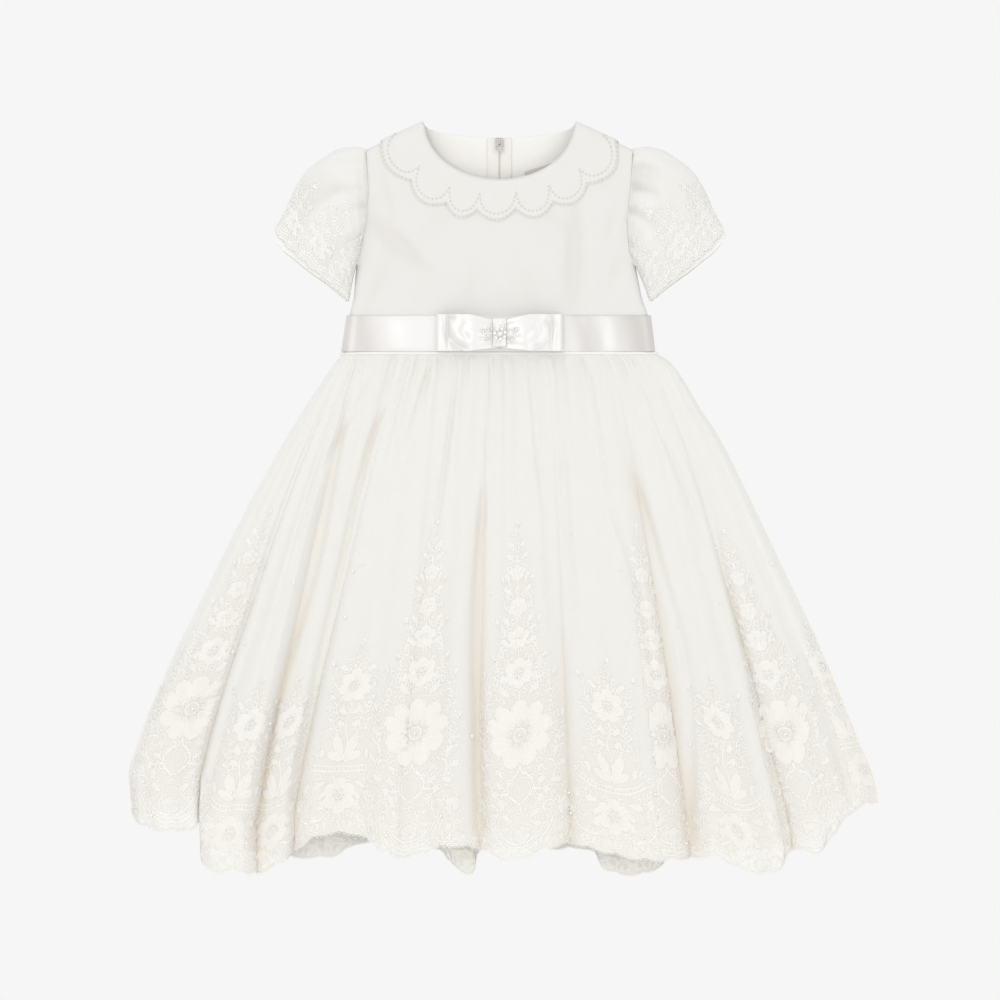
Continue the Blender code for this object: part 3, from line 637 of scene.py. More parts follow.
class Work(Joined):
    """Embroidery drawn in its own plane: a aside, h up from the hem, a lift off the cloth and a tone."""

    def __init__(self):
        super().__init__()
        self.pearls = []

    def cord(self, line, width=CORD_WIDTH, high=CORD_HIGH):
        """A raised thread along a line."""
        line = np.asarray(line, float)
        ahead = unit(np.gradient(line, axis=0))
        aside = np.stack([-ahead[:, 1], ahead[:, 0]], 1) * width / 2
        low = np.zeros((len(line), 1))
        rows = [
            np.hstack([line + aside, low, low]),
            np.hstack([line, low + high, low]),
            np.hstack([line - aside, low, low]),
        ]
        self.add(np.stack(rows, 1).reshape(-1, 4), ridge_faces(len(line)))

    def fill(self, outline):
        """A padded shape in satin stitch inside an outline, with its middle lower."""
        middle = outline.mean(axis=0)
        inner = middle + (outline - middle) * 0.6
        count = len(outline)
        one = np.ones((count, 1))
        points = np.vstack([
            np.hstack([outline, 0.08 * one, FILL_TONE * one]),
            np.hstack([inner, FILL_HIGH * one, 0.8 * FILL_TONE * one]),
            [[middle[0], middle[1], FILL_HIGH * (1 - CUPPED), FILL_TONE]],
        ])
        faces = []
        for i in range(count):
            after = (i + 1) % count
            faces.append((i, after, count + after, count + i))
            faces.append((count + i, count + after, 2 * count))
        self.add(points, faces)

    def pearl(self, a, h, radius):
        self.pearls.append((a, h, radius))

    def ring(self, a, h, radius, width=CORD_WIDTH, count=14):
        self.arc(a, h, radius, 0, 360, width, count)

    def arc(self, a, h, radius, first, last, width=CORD_WIDTH, count=18):
        self.scroll(a, h, radius, radius, first, last, width, count)

    def scroll(self, a, h, first_radius, last_radius, first, last, width=CORD_WIDTH, count=20):
        """A spiral about a point between two angles in degrees."""
        turn = np.radians(np.linspace(first, last, count))
        radius = np.linspace(first_radius, last_radius, count)
        self.cord(np.stack([a + radius * np.cos(turn), h + radius * np.sin(turn)], 1), width)

    def vine(self, corners, width=CORD_WIDTH, count=24):
        self.cord(along(corners, np.linspace(0, 1, count)), width)

    def petal(self, a, h, angle, length, width, edged=True, veins=1):
        """A petal or a leaf that springs from a point."""
        turn = np.linspace(0, 2 * math.pi, 12)[:-1]
        out = length * (0.5 - 0.5 * np.cos(turn))
        side = 0.62 * width * np.sin(turn) * (0.68 - 0.32 * np.cos(turn))
        shape = self.turned(a, h, angle, out, side)
        self.fill(shape)
        if edged:
            self.cord(np.vstack([shape, shape[:1]]), CORD_WIDTH, CORD_HIGH + 0.16)
        for vein in range(veins):
            lean = (vein - (veins - 1) / 2) * (0.17 if veins > 3 else 0.22) * width
            out = np.array([0.1, 0.5, 0.85]) * length
            run = self.turned(a, h, angle, out, lean * np.array([0.1, 1.0, 1.0]))
            self.cord(run, 0.55 * CORD_WIDTH, CORD_HIGH + 0.12)

    def petals(self, rows):
        """Petals and leaves, a row each: where they spring from, the angle, the length and the width."""
        for row in rows:
            self.petal(*row)

    def turned(self, a, h, angle, out, side):
        turn = math.radians(angle)
        x = a + out * math.cos(turn) - side * math.sin(turn)
        y = h + out * math.sin(turn) + side * math.cos(turn)
        return np.stack([x, y], 1)

    def flower(self, a, h, radius, petals, turn=90.0):
        """A flower of padded petals, parted by gaps, about a ring with a bead."""
        eye = 0.24 * radius
        width = 1.62 * radius * math.sin(math.pi / petals)
        for index in range(petals):
            angle = turn + 360.0 * index / petals
            way = math.radians(angle)
            foot = (a + 1.05 * eye * math.cos(way), h + 1.05 * eye * math.sin(way))
            length = radius - 1.05 * eye
            self.petal(foot[0], foot[1], angle, length, width, veins=5 if length > 15 else 3)
        self.ring(a, h, 0.8 * eye, 1.2 * CORD_WIDTH, 10)
        if radius > 10:
            for index in range(2 * petals):
                way = math.radians(turn + 180.0 * (index + 0.5) / petals)
                ahead = np.array([math.cos(way), math.sin(way)])
                thread = [eye * ahead + (a, h), 0.42 * radius * ahead + (a, h)]
                self.cord(thread, 0.6 * CORD_WIDTH, 2.2 * CORD_HIGH)
        self.pearl(a, h, max(0.2 * eye, 0.8))

    def sprig(self, corners, leaves, size):
        """A stem with pairs of leaves and a bud."""
        self.vine(corners, 0.9 * CORD_WIDTH, 16)
        places = np.linspace(0.2, 0.9, leaves)
        spots = along(corners, places)
        ahead = along(corners, places + 0.03) - spots
        for index, (spot, way) in enumerate(zip(spots, ahead)):
            angle = math.degrees(math.atan2(way[1], way[0]))
            leaf = size * (1 - 0.35 * index / leaves)
            for lean in (-52, 52):
                self.petal(spot[0], spot[1], angle + lean, leaf, 0.46 * leaf, edged=False)
        tip = along(corners, np.array([1.0]))[0]
        self.petal(tip[0], tip[1], angle, 0.9 * size, 0.5 * size)
        self.pearl(tip[0], tip[1], 0.8)

    def filler(self, rows, pitch, keep_out, seed, width=1.05 * CORD_WIDTH):
        """Fills the ground, within a half width at each height, with curls, leaves and eyelets."""
        rng = np.random.default_rng(seed)
        heights = [row[0] for row in rows]
        widths = [row[1] for row in rows]
        for step, height in enumerate(np.arange(heights[0], heights[-1], 0.87 * pitch)):
            reach = np.interp(height, heights, widths)
            for place in np.arange(pitch * (0.5 if step % 2 else 1.0), reach, pitch):
                a = place + rng.uniform(-0.16, 0.16) * pitch
                h = height + rng.uniform(-0.16, 0.16) * pitch
                turn = rng.uniform(0, 360)
                kind = rng.integers(0, 6)
                if any(math.hypot(a - spot[0], h - spot[1]) < spot[2] for spot in keep_out):
                    continue
                if kind < 3:
                    way = 400 if kind else -400
                    self.scroll(a, h, 0.46 * pitch, 0.12 * pitch, turn, turn + way, width, 11)
                elif kind < 5:
                    for lean in (-48, 0, 48):
                        self.petal(a, h, turn + lean, 0.52 * pitch, 0.22 * pitch, edged=False, veins=0)
                else:
                    self.ring(a, h, 0.32 * pitch, width, 8)

    def mirrored(self):
        """Adds the same work on the other side of the motif's middle."""
        points = np.vstack(self.points)
        points[:, 0] *= -1
        faces = [face[::-1] for face in self.faces]
        self.add(points, faces)
        self.pearls += [(-a, h, radius) for a, h, radius in self.pearls]


def ball(centre, up, radius):
    """The points and faces of a small bead."""
    rings = 4
    around = 7
    side = unit(np.cross(up, (0.31, 0.87, 0.38)))
    other = np.cross(up, side)
    points = [centre + up * radius]
    for ring in range(1, rings):
        tilt = math.pi * ring / rings
        for step in range(around):
            turn = 2 * math.pi * step / around
            flat = side * math.cos(turn) + other * math.sin(turn)
            points.append(centre + radius * (up * math.cos(tilt) + flat * math.sin(tilt)))
    points.append(centre - up * radius)
    faces = []
    last = len(points) - 1
    for step in range(around):
        after = (step + 1) % around
        faces.append((0, 1 + step, 1 + after))
        for ring in range(rings - 2):
            a = 1 + ring * around
            b = a + around
            faces.append((a + step, b + step, b + after, a + after))
        end = 1 + (rings - 2) * around
        faces.append((last, end + after, end + step))
    return np.array(points), faces


class Beads(Joined):
    """Beads that are joined into one mesh."""

    def sew(self, centre, up, radius):
        self.add(*ball(np.asarray(centre, float), np.asarray(up, float), radius))

    def make(self, name, slot_name):
        dressed(new_mesh(name, np.vstack(self.points), self.faces, PEARL))


# How far embroidery stands off its cloth, or is sunk into it where it shows on both faces
ON_CLOTH = 0.15
THROUGH_CLOTH = -0.2
# How far a pearl's middle stands off its cloth, in radii
PEARL_SEAT = 0.7


def lay(work, surface, foot, cell, beads, lift=ON_CLOTH):
    """Lays a motif on a surface between two shares, and returns its points and the faces inside."""
    flat = np.vstack(work.points)
    points, inside, across = surface.motif(foot, flat[:, 0], flat[:, 1], flat[:, 2] + lift)
    inside &= (across >= cell[0]) & (across <= cell[1])
    faces = [face for face in work.faces if all(inside[index] for index in face)]
    if work.pearls and beads:
        spots = np.array(work.pearls)
        none = np.zeros(len(spots))
        low, here, across = surface.motif(foot, spots[:, 0], spots[:, 1], none + lift)
        high = surface.motif(foot, spots[:, 0], spots[:, 1], none + lift + 1.0)[0]
        here &= (across >= cell[0]) & (across <= cell[1])
        for place, top, radius, kept in zip(low, high, spots[:, 2], here):
            if kept:
                up = unit(top - place)
                beads.sew(place + up * (radius * PEARL_SEAT + CORD_HIGH), up, radius)
    return np.hstack([points, flat[:, 3:]]), faces


def lay_edge(work, surface, lift=ON_CLOTH):
    """Lays an edging along a surface's hem, and returns its points and faces."""
    flat = np.vstack(work.points)
    points = surface.border(flat[:, 0], flat[:, 1], flat[:, 2] + lift)
    return np.hstack([points, flat[:, 3:]]), work.faces


# How much of the painted shade of a fold the lace on it takes
LACE_PAINTED_SHADE_SHARE = 0.75


def lace_mesh(name, parts, surface=None):
    """Joined lace, each thread in its own tone and in the painted shade of the fold that it lies in."""
    points, faces = merged(parts)
    piece = new_mesh(name, points[:, :3], faces, LACE)
    tone = points[:, 3]
    if surface:
        tone = tone + LACE_PAINTED_SHADE_SHARE * surface.shade_near(points[:, :3])
    dressed(piece, tone=np.clip(tone, 0.0, 1.0))


def merged(parts):
    """Points and faces of several meshes as one, without points that no face uses."""
    points = []
    faces = []
    count = 0
    for some, some_faces in parts:
        used = sorted({index for face in some_faces for index in face})
        place = {index: count + step for step, index in enumerate(used)}
        points.append(some[used])
        faces += [tuple(place[index] for index in face) for face in some_faces]
        count += len(used)
    return np.vstack(points), faces


def joined(name, parts, material):
    return new_mesh(name, *merged(parts), material)


# Materials: each takes its grain, tint and sheen from its own nodes

def set_inputs(node, **values):
    """Sets a node's inputs, each named with underscores for the spaces in Blender's name."""
    for name, value in values.items():
        node.inputs[name.replace("_", " ")].default_value = value


def noise_into(tree, scale, detail, stretch, roughness):
    """A noise texture in the object's own coordinates, stretched along axes."""
    place = tree.nodes.new("ShaderNodeTexCoord")
    mapping = tree.nodes.new("ShaderNodeMapping")
    set_inputs(mapping, Scale=stretch)
    noise = tree.nodes.new("ShaderNodeTexNoise")
    set_inputs(noise, Scale=scale, Detail=detail, Roughness=roughness)
    tree.links.new(place.outputs["Object"], mapping.inputs["Vector"])
    tree.links.new(mapping.outputs["Vector"], noise.inputs["Vector"])
    return noise


def new_material(name):
    """A material that shows what its nodes say, and those nodes."""
    material = bpy.data.materials.new(name)
    material.use_nodes = True
    return material, material.node_tree


def colour_mix(tree, share):
    """A node that goes from one colour to another with a share."""
    mix = tree.nodes.new("ShaderNodeMix")
    mix.data_type = "RGBA"
    tree.links.new(share, mix.inputs["Factor"])
    return mix


def cloth(name, colour, shade, roughness, weave, weave_depth, stretch=(1, 1, 1),
          sheen=0.0, coat=0.0, alpha=1.0, metallic=0.0, specular=0.3, deep=None):
    """A surface whose colour drifts between two tones and whose weave stands out in its relief; a deep
    colour, where given, is mixed in by each point's fold_shade, mostly as painted shade.
    """
    drift_size = 60.0
    weave_height = 0.0006
    material, tree = new_material(name)
    shader = tree.nodes["Principled BSDF"]
    set_inputs(shader, Roughness=roughness, Metallic=metallic, Alpha=alpha, Specular_IOR_Level=specular)
    set_inputs(shader, Sheen_Weight=sheen, Sheen_Roughness=0.5, Coat_Weight=coat, Coat_Roughness=0.25)
    drift = noise_into(tree, drift_size, 3.0, (1, 1, 1), 0.5)
    blend = colour_mix(tree, drift.outputs["Fac"])
    set_inputs(blend, A=(*shade, 1.0), B=(*colour, 1.0))
    tone = blend.outputs["Result"]
    if deep:
        fold = tree.nodes.new("ShaderNodeAttribute")
        fold.attribute_name = "fold_shade"
        sink = colour_mix(tree, fold.outputs["Fac"])
        set_inputs(sink, B=(*deep, 1.0))
        tree.links.new(tone, sink.inputs["A"])
        tone = sink.outputs["Result"]
    tree.links.new(tone, shader.inputs["Base Color"])
    threads = noise_into(tree, weave, 2.0, stretch, 0.6)
    relief = tree.nodes.new("ShaderNodeBump")
    set_inputs(relief, Strength=weave_depth, Distance=weave_height)
    tree.links.new(threads.outputs["Fac"], relief.inputs["Height"])
    tree.links.new(relief.outputs["Normal"], shader.inputs["Normal"])
    material.diffuse_color = (*colour, 1.0)
    return material


# The colour of the painted shade in the skirt's folds
PAINTED_FOLD_SHADE = (0.874, 0.806, 0.694)
# The crepe's darker colour is painted shade, for the bodice's creases
CREPE = cloth("ivory_crepe", (0.812, 0.804, 0.782), (0.793, 0.781, 0.754), 0.85, 1500, 0.22, sheen=0.1,
              deep=(0.70, 0.67, 0.625))
# A lighter copy of the crepe: painted light on the back's inside, where it shows in the neck's shade; its
# darker colour is the crepe's own
PAINTED_LIGHT_BACK_CREPE = cloth("ivory_crepe_back_painted_light", (0.915, 0.902, 0.87), (0.895, 0.878, 0.84), 0.85, 1500, 0.22,
                   sheen=0.1, deep=(0.803, 0.793, 0.768))
ORGANZA = cloth("ivory_organza", (0.908, 0.903, 0.874), (0.888, 0.881, 0.844), 0.55, 1300, 0.10,
                stretch=(1.6, 0.5, 1), alpha=0.88, sheen=0.1, deep=PAINTED_FOLD_SHADE)
# The sleeve organza's darker colour is painted shade, for the gathers
CAP_ORGANZA = cloth("sleeve_organza", (0.918, 0.91, 0.888), (0.898, 0.888, 0.857), 0.55, 1300, 0.10,
                    stretch=(1.6, 0.5, 1), alpha=0.88, sheen=0.1, deep=(0.72, 0.69, 0.65))
UNDER = cloth("ivory_lining", (0.91, 0.897, 0.86), (0.895, 0.88, 0.84), 0.6, 1100, 0.08, sheen=0.05)
# The lace's darker colour gives the fills their own tone and is also painted shade in the folds
LACE = cloth("ivory_lace_thread", (0.957, 0.949, 0.922), (0.933, 0.918, 0.886), 0.45, 2600, 0.25,
             stretch=(1, 2, 1), specular=0.4, deep=(0.876, 0.858, 0.808))
# The satin's darker colour is painted shade, for the ribbon's bands and the bow's hollows
SATIN = cloth("white_satin", (0.862, 0.86, 0.851), (0.842, 0.839, 0.828), 0.3, 500, 0.05,
              stretch=(0.25, 4.0, 1), specular=0.6, metallic=0.15, deep=(0.645, 0.615, 0.595))
TAPE = cloth("zip_tape", (0.905, 0.89, 0.855), (0.885, 0.865, 0.825), 0.75, 1800, 0.3, stretch=(1, 3, 1))
TEETH = cloth("zip_coil", (0.88, 0.87, 0.84), (0.83, 0.82, 0.78), 0.35, 2000, 0.05, specular=0.5)
LABEL = cloth("label_satin", (0.66, 0.635, 0.60), (0.62, 0.59, 0.55), 0.45, 1500, 0.15, stretch=(3, 0.5, 1))
PEARL = cloth("pearl", (0.97, 0.957, 0.94), (0.95, 0.93, 0.905), 0.25, 200, 0.02, coat=0.3, specular=0.5,
              sheen=0.5)
STITCH = cloth("stitch_thread", (0.765, 0.723, 0.69), (0.705, 0.659, 0.62), 0.5, 2400, 0.2, specular=0.4)
METAL = cloth("silver_metal", (0.66, 0.64, 0.62), (0.58, 0.56, 0.54), 0.26, 700, 0.06,
              stretch=(1, 5, 1), metallic=1.0)


# The share of the bodice's height above which its grid is finer, for the neck and the shoulders
NEAR_TOP = 0.9


def make_bodice_front():
    shoulder_share = 0.24

    def top(u):
        left = run_between(shoulder_tip(-1), neck_point(-1))(u / shoulder_share)
        right = run_between(neck_point(1), shoulder_tip(1))((u - 1 + shoulder_share) / shoulder_share)
        angle = 180 + 180 * (u - shoulder_share) / (1 - 2 * shoulder_share)
        curve = neck_curve(np.clip(angle, 180, 360), NECK_FRONT_DEPTH)
        place = np.where((u < shoulder_share)[..., None], left, curve)
        return np.where((u > 1 - shoulder_share)[..., None], right, place)

    start = np.zeros(1)
    waist = run_between(torso_side(-1)(start)[0], torso_side(1)(start)[0])
    plan = patch(waist, top, torso_side(-1), torso_side(1))
    across = [0, 0.003, 0.007, 0.012, 0.02, 0.03, 0.045]
    across += [*np.linspace(0.06, shoulder_share, 16), *np.linspace(shoulder_share, 0.5, 30)[1:]]
    across += [1 - u for u in across[-2::-1]]
    down = [*np.linspace(0, NEAR_TOP, 90), *np.linspace(NEAR_TOP, 1, 24)[1:]]
    u, v = crossed(across, down)
    spot = plan(u, v)
    outer = torso(spot[..., 0], spot[..., 1], 1, 0.0)
    inner = torso(spot[..., 0], spot[..., 1], 1, -WALL)
    piece = double_skin("bodice_front_cloth", outer, inner, CREPE)
    # Painted shade in the front's creases, toward the crepe's darker colour
    tone = np.clip(-creased(spot[..., 0], spot[..., 1], CREASES[1:] + FINE_CREASES) / 5.0, 0, 0.3)
    dressed(piece, "bodice_front", np.concatenate([tone, tone]))


def make_bodice_back(side, node):
    neck_share = 0.55
    opening = 0.4

    def top(u):
        shoulder = run_between(shoulder_tip(side), neck_point(side))(u / (1 - neck_share))
        share = np.clip((u - 1 + neck_share) / neck_share, 0, 1)
        curve = neck_curve(270 + side * 90 * (1 - share), NECK_BACK_DEPTH)
        curve = curve + np.stack([side * opening * share, np.zeros(share.shape)], -1)
        return np.where((u < 1 - neck_share)[..., None], shoulder, curve)

    start = np.zeros(1)
    centre = np.array([CENTRE_X + side * opening, WAIST_Y + GAP])
    plan = patch(
        run_between(torso_side(side)(start)[0], centre),
        top,
        torso_side(side),
        run_between(centre, top(start + 1)[0]),
    )
    across = [0, 0.006, 0.014, 0.026, 0.04] + list(np.linspace(0.06, 1, 44))
    down = [*np.linspace(0, NEAR_TOP, 44), *np.linspace(NEAR_TOP, 1, 20)[1:]]
    u, v = crossed(across, down)
    spot = plan(u, v)
    outer = torso(spot[..., 0], spot[..., 1], -1, 0.0)
    inner = torso(spot[..., 0], spot[..., 1], -1, -WALL)
    piece = double_skin(node + "_cloth", outer, inner, PAINTED_LIGHT_BACK_CREPE)
    # The outer face takes the crepe's own colour, and the inner face the painted light
    dressed(piece, node, np.concatenate([np.ones(u.shape), np.zeros(u.shape)]))


def mirror(point):
    return np.array([2 * CENTRE_X - point[0], point[1]])


def scallop_rows(cusps, steps, side, depth):
    """Places along a scalloped edge: a point on the neck, one on the edge, the side and the share."""
    rows = []
    for first, second in zip(cusps, cusps[1:]):
        start = np.array([first.x, first.y])
        end = np.array([second.x, second.y])
        run = end - start
        outward = unit(np.array([run[1], -run[0]]))
        if outward @ (start - np.array([CENTRE_X, NECK_Y])) < 0:
            outward = -outward
        for share in steps:
            angle = first.neck_angle + (second.neck_angle - first.neck_angle) * share
            edge = start + run * share + outward * first.bulge * math.sin(math.pi * share) ** 0.8
            rows.append((neck_curve(angle, depth), edge, side, share))
    return rows


def collar_rows(steps):
    """The collar from the zip over the left shoulder, across the front and back to the zip."""
    left = scallop_rows(BACK_SCALLOPS, steps, -1, NECK_BACK_DEPTH)
    last = BACK_SCALLOPS[-1]
    left.append((neck_curve(last.neck_angle, NECK_BACK_DEPTH), np.array([last.x, last.y]), -1, 0.0))
    front = scallop_rows(FRONT_SCALLOPS, steps, 1, NECK_FRONT_DEPTH)
    right = [(mirror(neck), mirror(edge), side, share) for neck, edge, side, share in left]
    left[0] = (*left[0][:2], 0, 0.0)
    front_end = (right[0][0], right[0][1], 0, 0.0)
    return left[::-1] + front[1:] + [front_end] + right[1:]


def collar_points(rows, widths, lift):
    """Points on the collar at shares of its width from the neck to the edge."""
    neck = np.array([row[0] for row in rows])[:, None, :]
    edge = np.array([row[1] for row in rows])[:, None, :]
    side = np.array([row[2] for row in rows], float)[:, None]
    spot = neck + (edge - neck) * widths[None, :, None]
    return torso(spot[..., 0], spot[..., 1], side, lift)


def make_collar():
    steps = list(0.5 - 0.5 * np.cos(np.linspace(0, math.pi, 19)))[:-1]
    rows = collar_rows(steps)
    edge_start = 0.93
    edge_round = 0.8
    neck_roll = 0.35
    widths = np.array([*np.linspace(0, 0.9, 19), edge_start, 0.955, 0.975, 0.988, 0.996, 1.0])
    rounding = smooth((widths - edge_start) / 0.07) * edge_round
    roll = np.clip(1 - widths / 0.05, 0, 1) ** 2 * neck_roll
    outer = collar_points(rows, widths, (PIECE - rounding - roll)[None, :])
    inner = collar_points(rows, widths, (GAP - 0.3 * rounding)[None, :])
    piece = double_skin("collar_cloth", outer, inner, CREPE)
    dressed(piece, "collar")


def make_collar_stitches():
    """Two rows of short raised stitches along the scallops; the inner one climbs to a peak at each cusp."""
    pitch = 3.7
    length = 2.6
    outer_inset = 1.9
    inner_inset = 6.9
    peak = 9.0
    steps = list(np.linspace(0, 1, 61))[:-1]
    rows = collar_rows(steps)
    necks = np.array([row[0] for row in rows])
    edges = np.array([row[1] for row in rows])
    sides = np.array([row[2] for row in rows], float)
    share = np.array([row[3] for row in rows])
    inward = unit(necks - edges)
    parts = []
    for inset in (outer_inset + 0 * share, inner_inset + peak * np.abs(2 * share - 1) ** 7):
        line = edges + inward * inset[:, None]
        for side_first, side_last in runs_of(sides):
            run = line[side_first:side_last]
            level = sides[side_first + 1]
            reach = lengths(run)
            for spot in np.arange(pitch / 2, reach[-1], pitch):
                places = spot + np.array([-0.5, -0.25, 0, 0.25, 0.5]) * length
                x = np.interp(places, reach, run[:, 0])
                y = np.interp(places, reach, run[:, 1])
                parts.append(dash(x, y, level))
    dressed(joined("collar_stitches", parts, STITCH))


def runs_of(sides):
    """Stretches of the collar that lie on one side."""
    edges = [0]
    edges += [i for i in range(1, len(sides)) if sides[i] == 0 and 0 < i < len(sides) - 1]
    edges.append(len(sides))
    return [(first, last) for first, last in zip(edges, edges[1:]) if last - first > 4]


STITCH_FLOOR = -0.35


def dash(x, y, side):
    """One raised stitch through five places on the collar."""
    half = 1.0
    rise = np.array([0.05, 0.42, 0.52, 0.42, 0.05])
    ahead = unit(np.array([x[-1] - x[0], y[-1] - y[0]]))
    aside = np.array([-ahead[1], ahead[0]]) * half
    girth = np.array([0.35, 0.9, 1.0, 0.9, 0.35])
    rows = []
    for way, up in ((1, 0.0), (0, 1.0), (-1, 0.0)):
        px = x + aside[0] * way * girth
        py = y + aside[1] * way * girth
        rows.append(torso(px, py, side, PIECE + 0.04 + rise * up, STITCH_FLOOR))
    return np.stack(rows, 1).reshape(-1, 3), ridge_faces(len(x))


# Bands of painted shade where the ribbon would turn from the light, and where it swells or sinks: middle and
# width in X, and how much
Band = namedtuple("Band", "x width amount")
BELT_SHADE_BANDS = [
    Band(-141, 8, 0.60),
    Band(-121, 16, 0.80),
    Band(-100, 8, 0.18),
    Band(-54, 5, 0.08),
    Band(56, 6, 0.12),
    Band(73, 8, 0.66),
    Band(84, 6, 0.40),
    Band(105, 7, 0.25),
    Band(121, 12, 0.98),
    Band(134, 6, 0.55),
]
BELT_SWELLS = [
    Band(-78, 16, 0.55),
    Band(-122, 10, -0.35),
    Band(99, 9, 0.5),
    Band(84, 8, -0.45),
    Band(119, 8, -0.4),
]


def banded(x, rows):
    return sum(row.amount * bump(x, row.x, row.width) for row in rows)


# Painted shade on the ribbon: bands where it would turn from the light, and a little along its edges
def belt_shade(x, y):
    lean = 0.25 * (y - BELT_LOW_Y)
    edge = 0.05 * (bump(y, BELT_LOW_Y, 1.6) + bump(y, BELT_TOP_Y, 1.4))
    return np.clip(banded(x + lean, BELT_SHADE_BANDS) + edge, 0.0, 1.0)


def belt_waves(x):
    """Slow waves along the ribbon, which catch the light in bands."""
    return banded(x, BELT_SWELLS) + 0.12 * np.sin(x / 5.3)


def make_belt():
    """The ribbon goes all round, and its ends meet at the zip."""
    zip_room = 0.6
    bulge_high = 0.25
    near = np.array([0.0, 0.12, 0.4])
    inset = 1.2
    middle = np.linspace(BELT_LOW_Y + inset, BELT_TOP_Y - inset, 11)
    heights = np.concatenate([BELT_LOW_Y + near, middle, BELT_TOP_Y - near[::-1]])
    back = [0.0, 0.003, 0.006, 0.012, 0.02, 0.035, 0.05] + list(np.linspace(0.07, 0.49, 24))
    front = back[:7] + list(np.linspace(0.07, 0.93, 120)) + [1 - share for share in back[6::-1]]
    places = [(0.4995, -1)] + [(share, -1) for share in back[:0:-1]]
    places += [(share, 1 if 0 < share < 1 else 0) for share in front]
    places += [(1 - share, -1) for share in back[1:]] + [(0.5005, -1)]
    share = np.array([place[0] for place in places])[:, None] + 0 * heights[None, :]
    side = np.array([place[1] for place in places], float)[:, None] + 0 * heights[None, :]
    y = heights[None, :] + 0 * share
    left = torso_edge(-1, y)
    right = torso_edge(1, y)
    x = left + (right - left) * share
    meets = (side < 0) & (np.abs(share - 0.5) < 0.02)
    x = np.where(meets, CENTRE_X + np.copysign(zip_room, share - 0.5), x)
    bulge = 1 - (2 * (y - BELT_LOW_Y) / (BELT_TOP_Y - BELT_LOW_Y) - 1) ** 8
    wave = np.where(side > 0, belt_waves(x) * (0.4 + 0.6 * bulge), 0.0)
    outer = torso(x, y, side, PIECE)
    outer[..., 2] += np.where(side > 0, bulge_high * bulge, 0.0) + wave
    inner = torso(x, y, side, GAP)
    piece = double_skin("ribbon_belt_cloth", outer, inner, SATIN)
    tone = belt_shade(x, y)
    dressed(piece, "ribbon_belt", np.concatenate([tone, tone]))


def tube(path, radius, around):
    """The points and faces of a round cord along a path."""
    ahead = unit(np.gradient(path, axis=0))
    side = unit(np.cross(ahead, (0.05, 0.02, 1.0)))
    up = np.cross(side, ahead)
    turn = np.linspace(0, 2 * math.pi, around, endpoint=False)
    ring = side[:, None] * np.cos(turn)[None, :, None] + up[:, None] * np.sin(turn)[None, :, None]
    points = (path[:, None] + ring * radius).reshape(-1, 3)
    faces = []
    for i in range(len(path) - 1):
        for step in range(around):
            after = (step + 1) % around
            a = i * around
            faces.append((a + step, a + after, a + around + after, a + around + step))
    end = (len(path) - 1) * around
    faces.append(tuple(range(around))[::-1])
    faces.append(tuple(end + step for step in range(around)))
    return points, faces


# Sleeves: gathered organza over a plain lining that shows below the lace at the cuff

SLEEVE_LENGTHS = [0, 0.06, 0.15, 0.28, 0.45, 0.64, 0.84, 1]
SLEEVE_PUFF = [0.0, 6.5, 12.5, 16.5, 17.0, 14.0, 8.5, 3.0]
SLEEVE_FLAT_SHARE = 0.55
SLEEVE_SEAT = 0.7


def sleeve_plan(side):
    """The flat outline of a sleeve: armhole at 0, cuff at 1; its upper edge at 0, underarm at 1."""
    reach = np.array([side, 1.0])
    middle = np.array([CENTRE_X, 0.0])
    seam = GAP + 0.5

    def outline(rows):
        return lambda share: along(rows, share) * reach + middle

    def armhole(t):
        y = SHOULDER_Y + t * (UNDERARM_Y + 1.0 - SHOULDER_Y)
        return np.stack([torso_edge(side, y) + side * seam, y], -1)

    cuff = outline(SLEEVE_CUFF)
    top = outline(SLEEVE_TOP)
    none = np.zeros(1)
    start = armhole(none + 1)[0]
    end = cuff(none + 1)[0]
    lift = (cuff(none)[0] - top(none + 1)[0], armhole(none)[0] - top(none)[0])

    def upper(s):
        return top(s) + lift[0] * s[..., None] + lift[1] * (1 - s[..., None])

    return patch(upper, run_between(start, end), armhole, cuff)


def sleeve_gathers(t, s, seed):
    """Folds that run out from the cap and soften towards the cuff."""
    height = np.zeros(t.shape)
    for step, (count, size, reach) in enumerate(((9, 2.6, 0.42), (15, 1.8, 0.30), (23, 0.9, 0.2))):
        wander = 0.05 * ruffle(s, seed + step, 5) + 0.03 * s
        height += size * ruffle(t + wander, seed + 10 + step, count) * bump(s, 0, reach)
    rise = np.minimum(s / 0.05, 1.0)
    drape = 1.5 * ruffle(t + 0.12 * s, seed + 40, 7) * np.sin(math.pi * s)
    return height * rise * (1.15 - 0.7 * t) + drape


def sleeve_points(side, turn, s):
    angle = 2 * math.pi * turn
    t = 0.5 - 0.5 * np.cos(angle)
    spot = sleeve_plan(side)(s, t)
    level = MIDDLE_Z * (1 - 0.25 * s)
    swell = np.sin(angle)
    seam_high = BODICE_HIGH - 0.5
    up = np.maximum(swell, 0.0)
    crown = seam_high + np.interp(s, SLEEVE_LENGTHS, SLEEVE_PUFF) * up
    gathers = sleeve_gathers(t, s, 3 if side < 0 else 5) * up
    over = level + (crown - level) * up ** 0.4 + gathers
    seat = np.maximum(BACK_LOW * np.maximum(1 - s / 0.06, 0.0), SLEEVE_SEAT)
    down = np.minimum(np.maximum(-swell, 0.0) / SLEEVE_FLAT_SHARE, 1.0)
    under = level + (seat - level) * down ** 0.6
    height = np.where(swell >= 0, over, under)
    # The second value is painted shade in the gathers' valleys
    return np.concatenate([spot, height[..., None]], -1), np.clip(-gathers / 3.2, 0.0, 0.75)


def sleeve_end(turn):
    """How far down the sleeve its scalloped lace edge reaches."""
    t = 0.5 - 0.5 * np.cos(2 * math.pi * turn)
    return 0.93 + 0.018 * np.abs(np.sin(math.pi * 7 * t)) ** 0.7


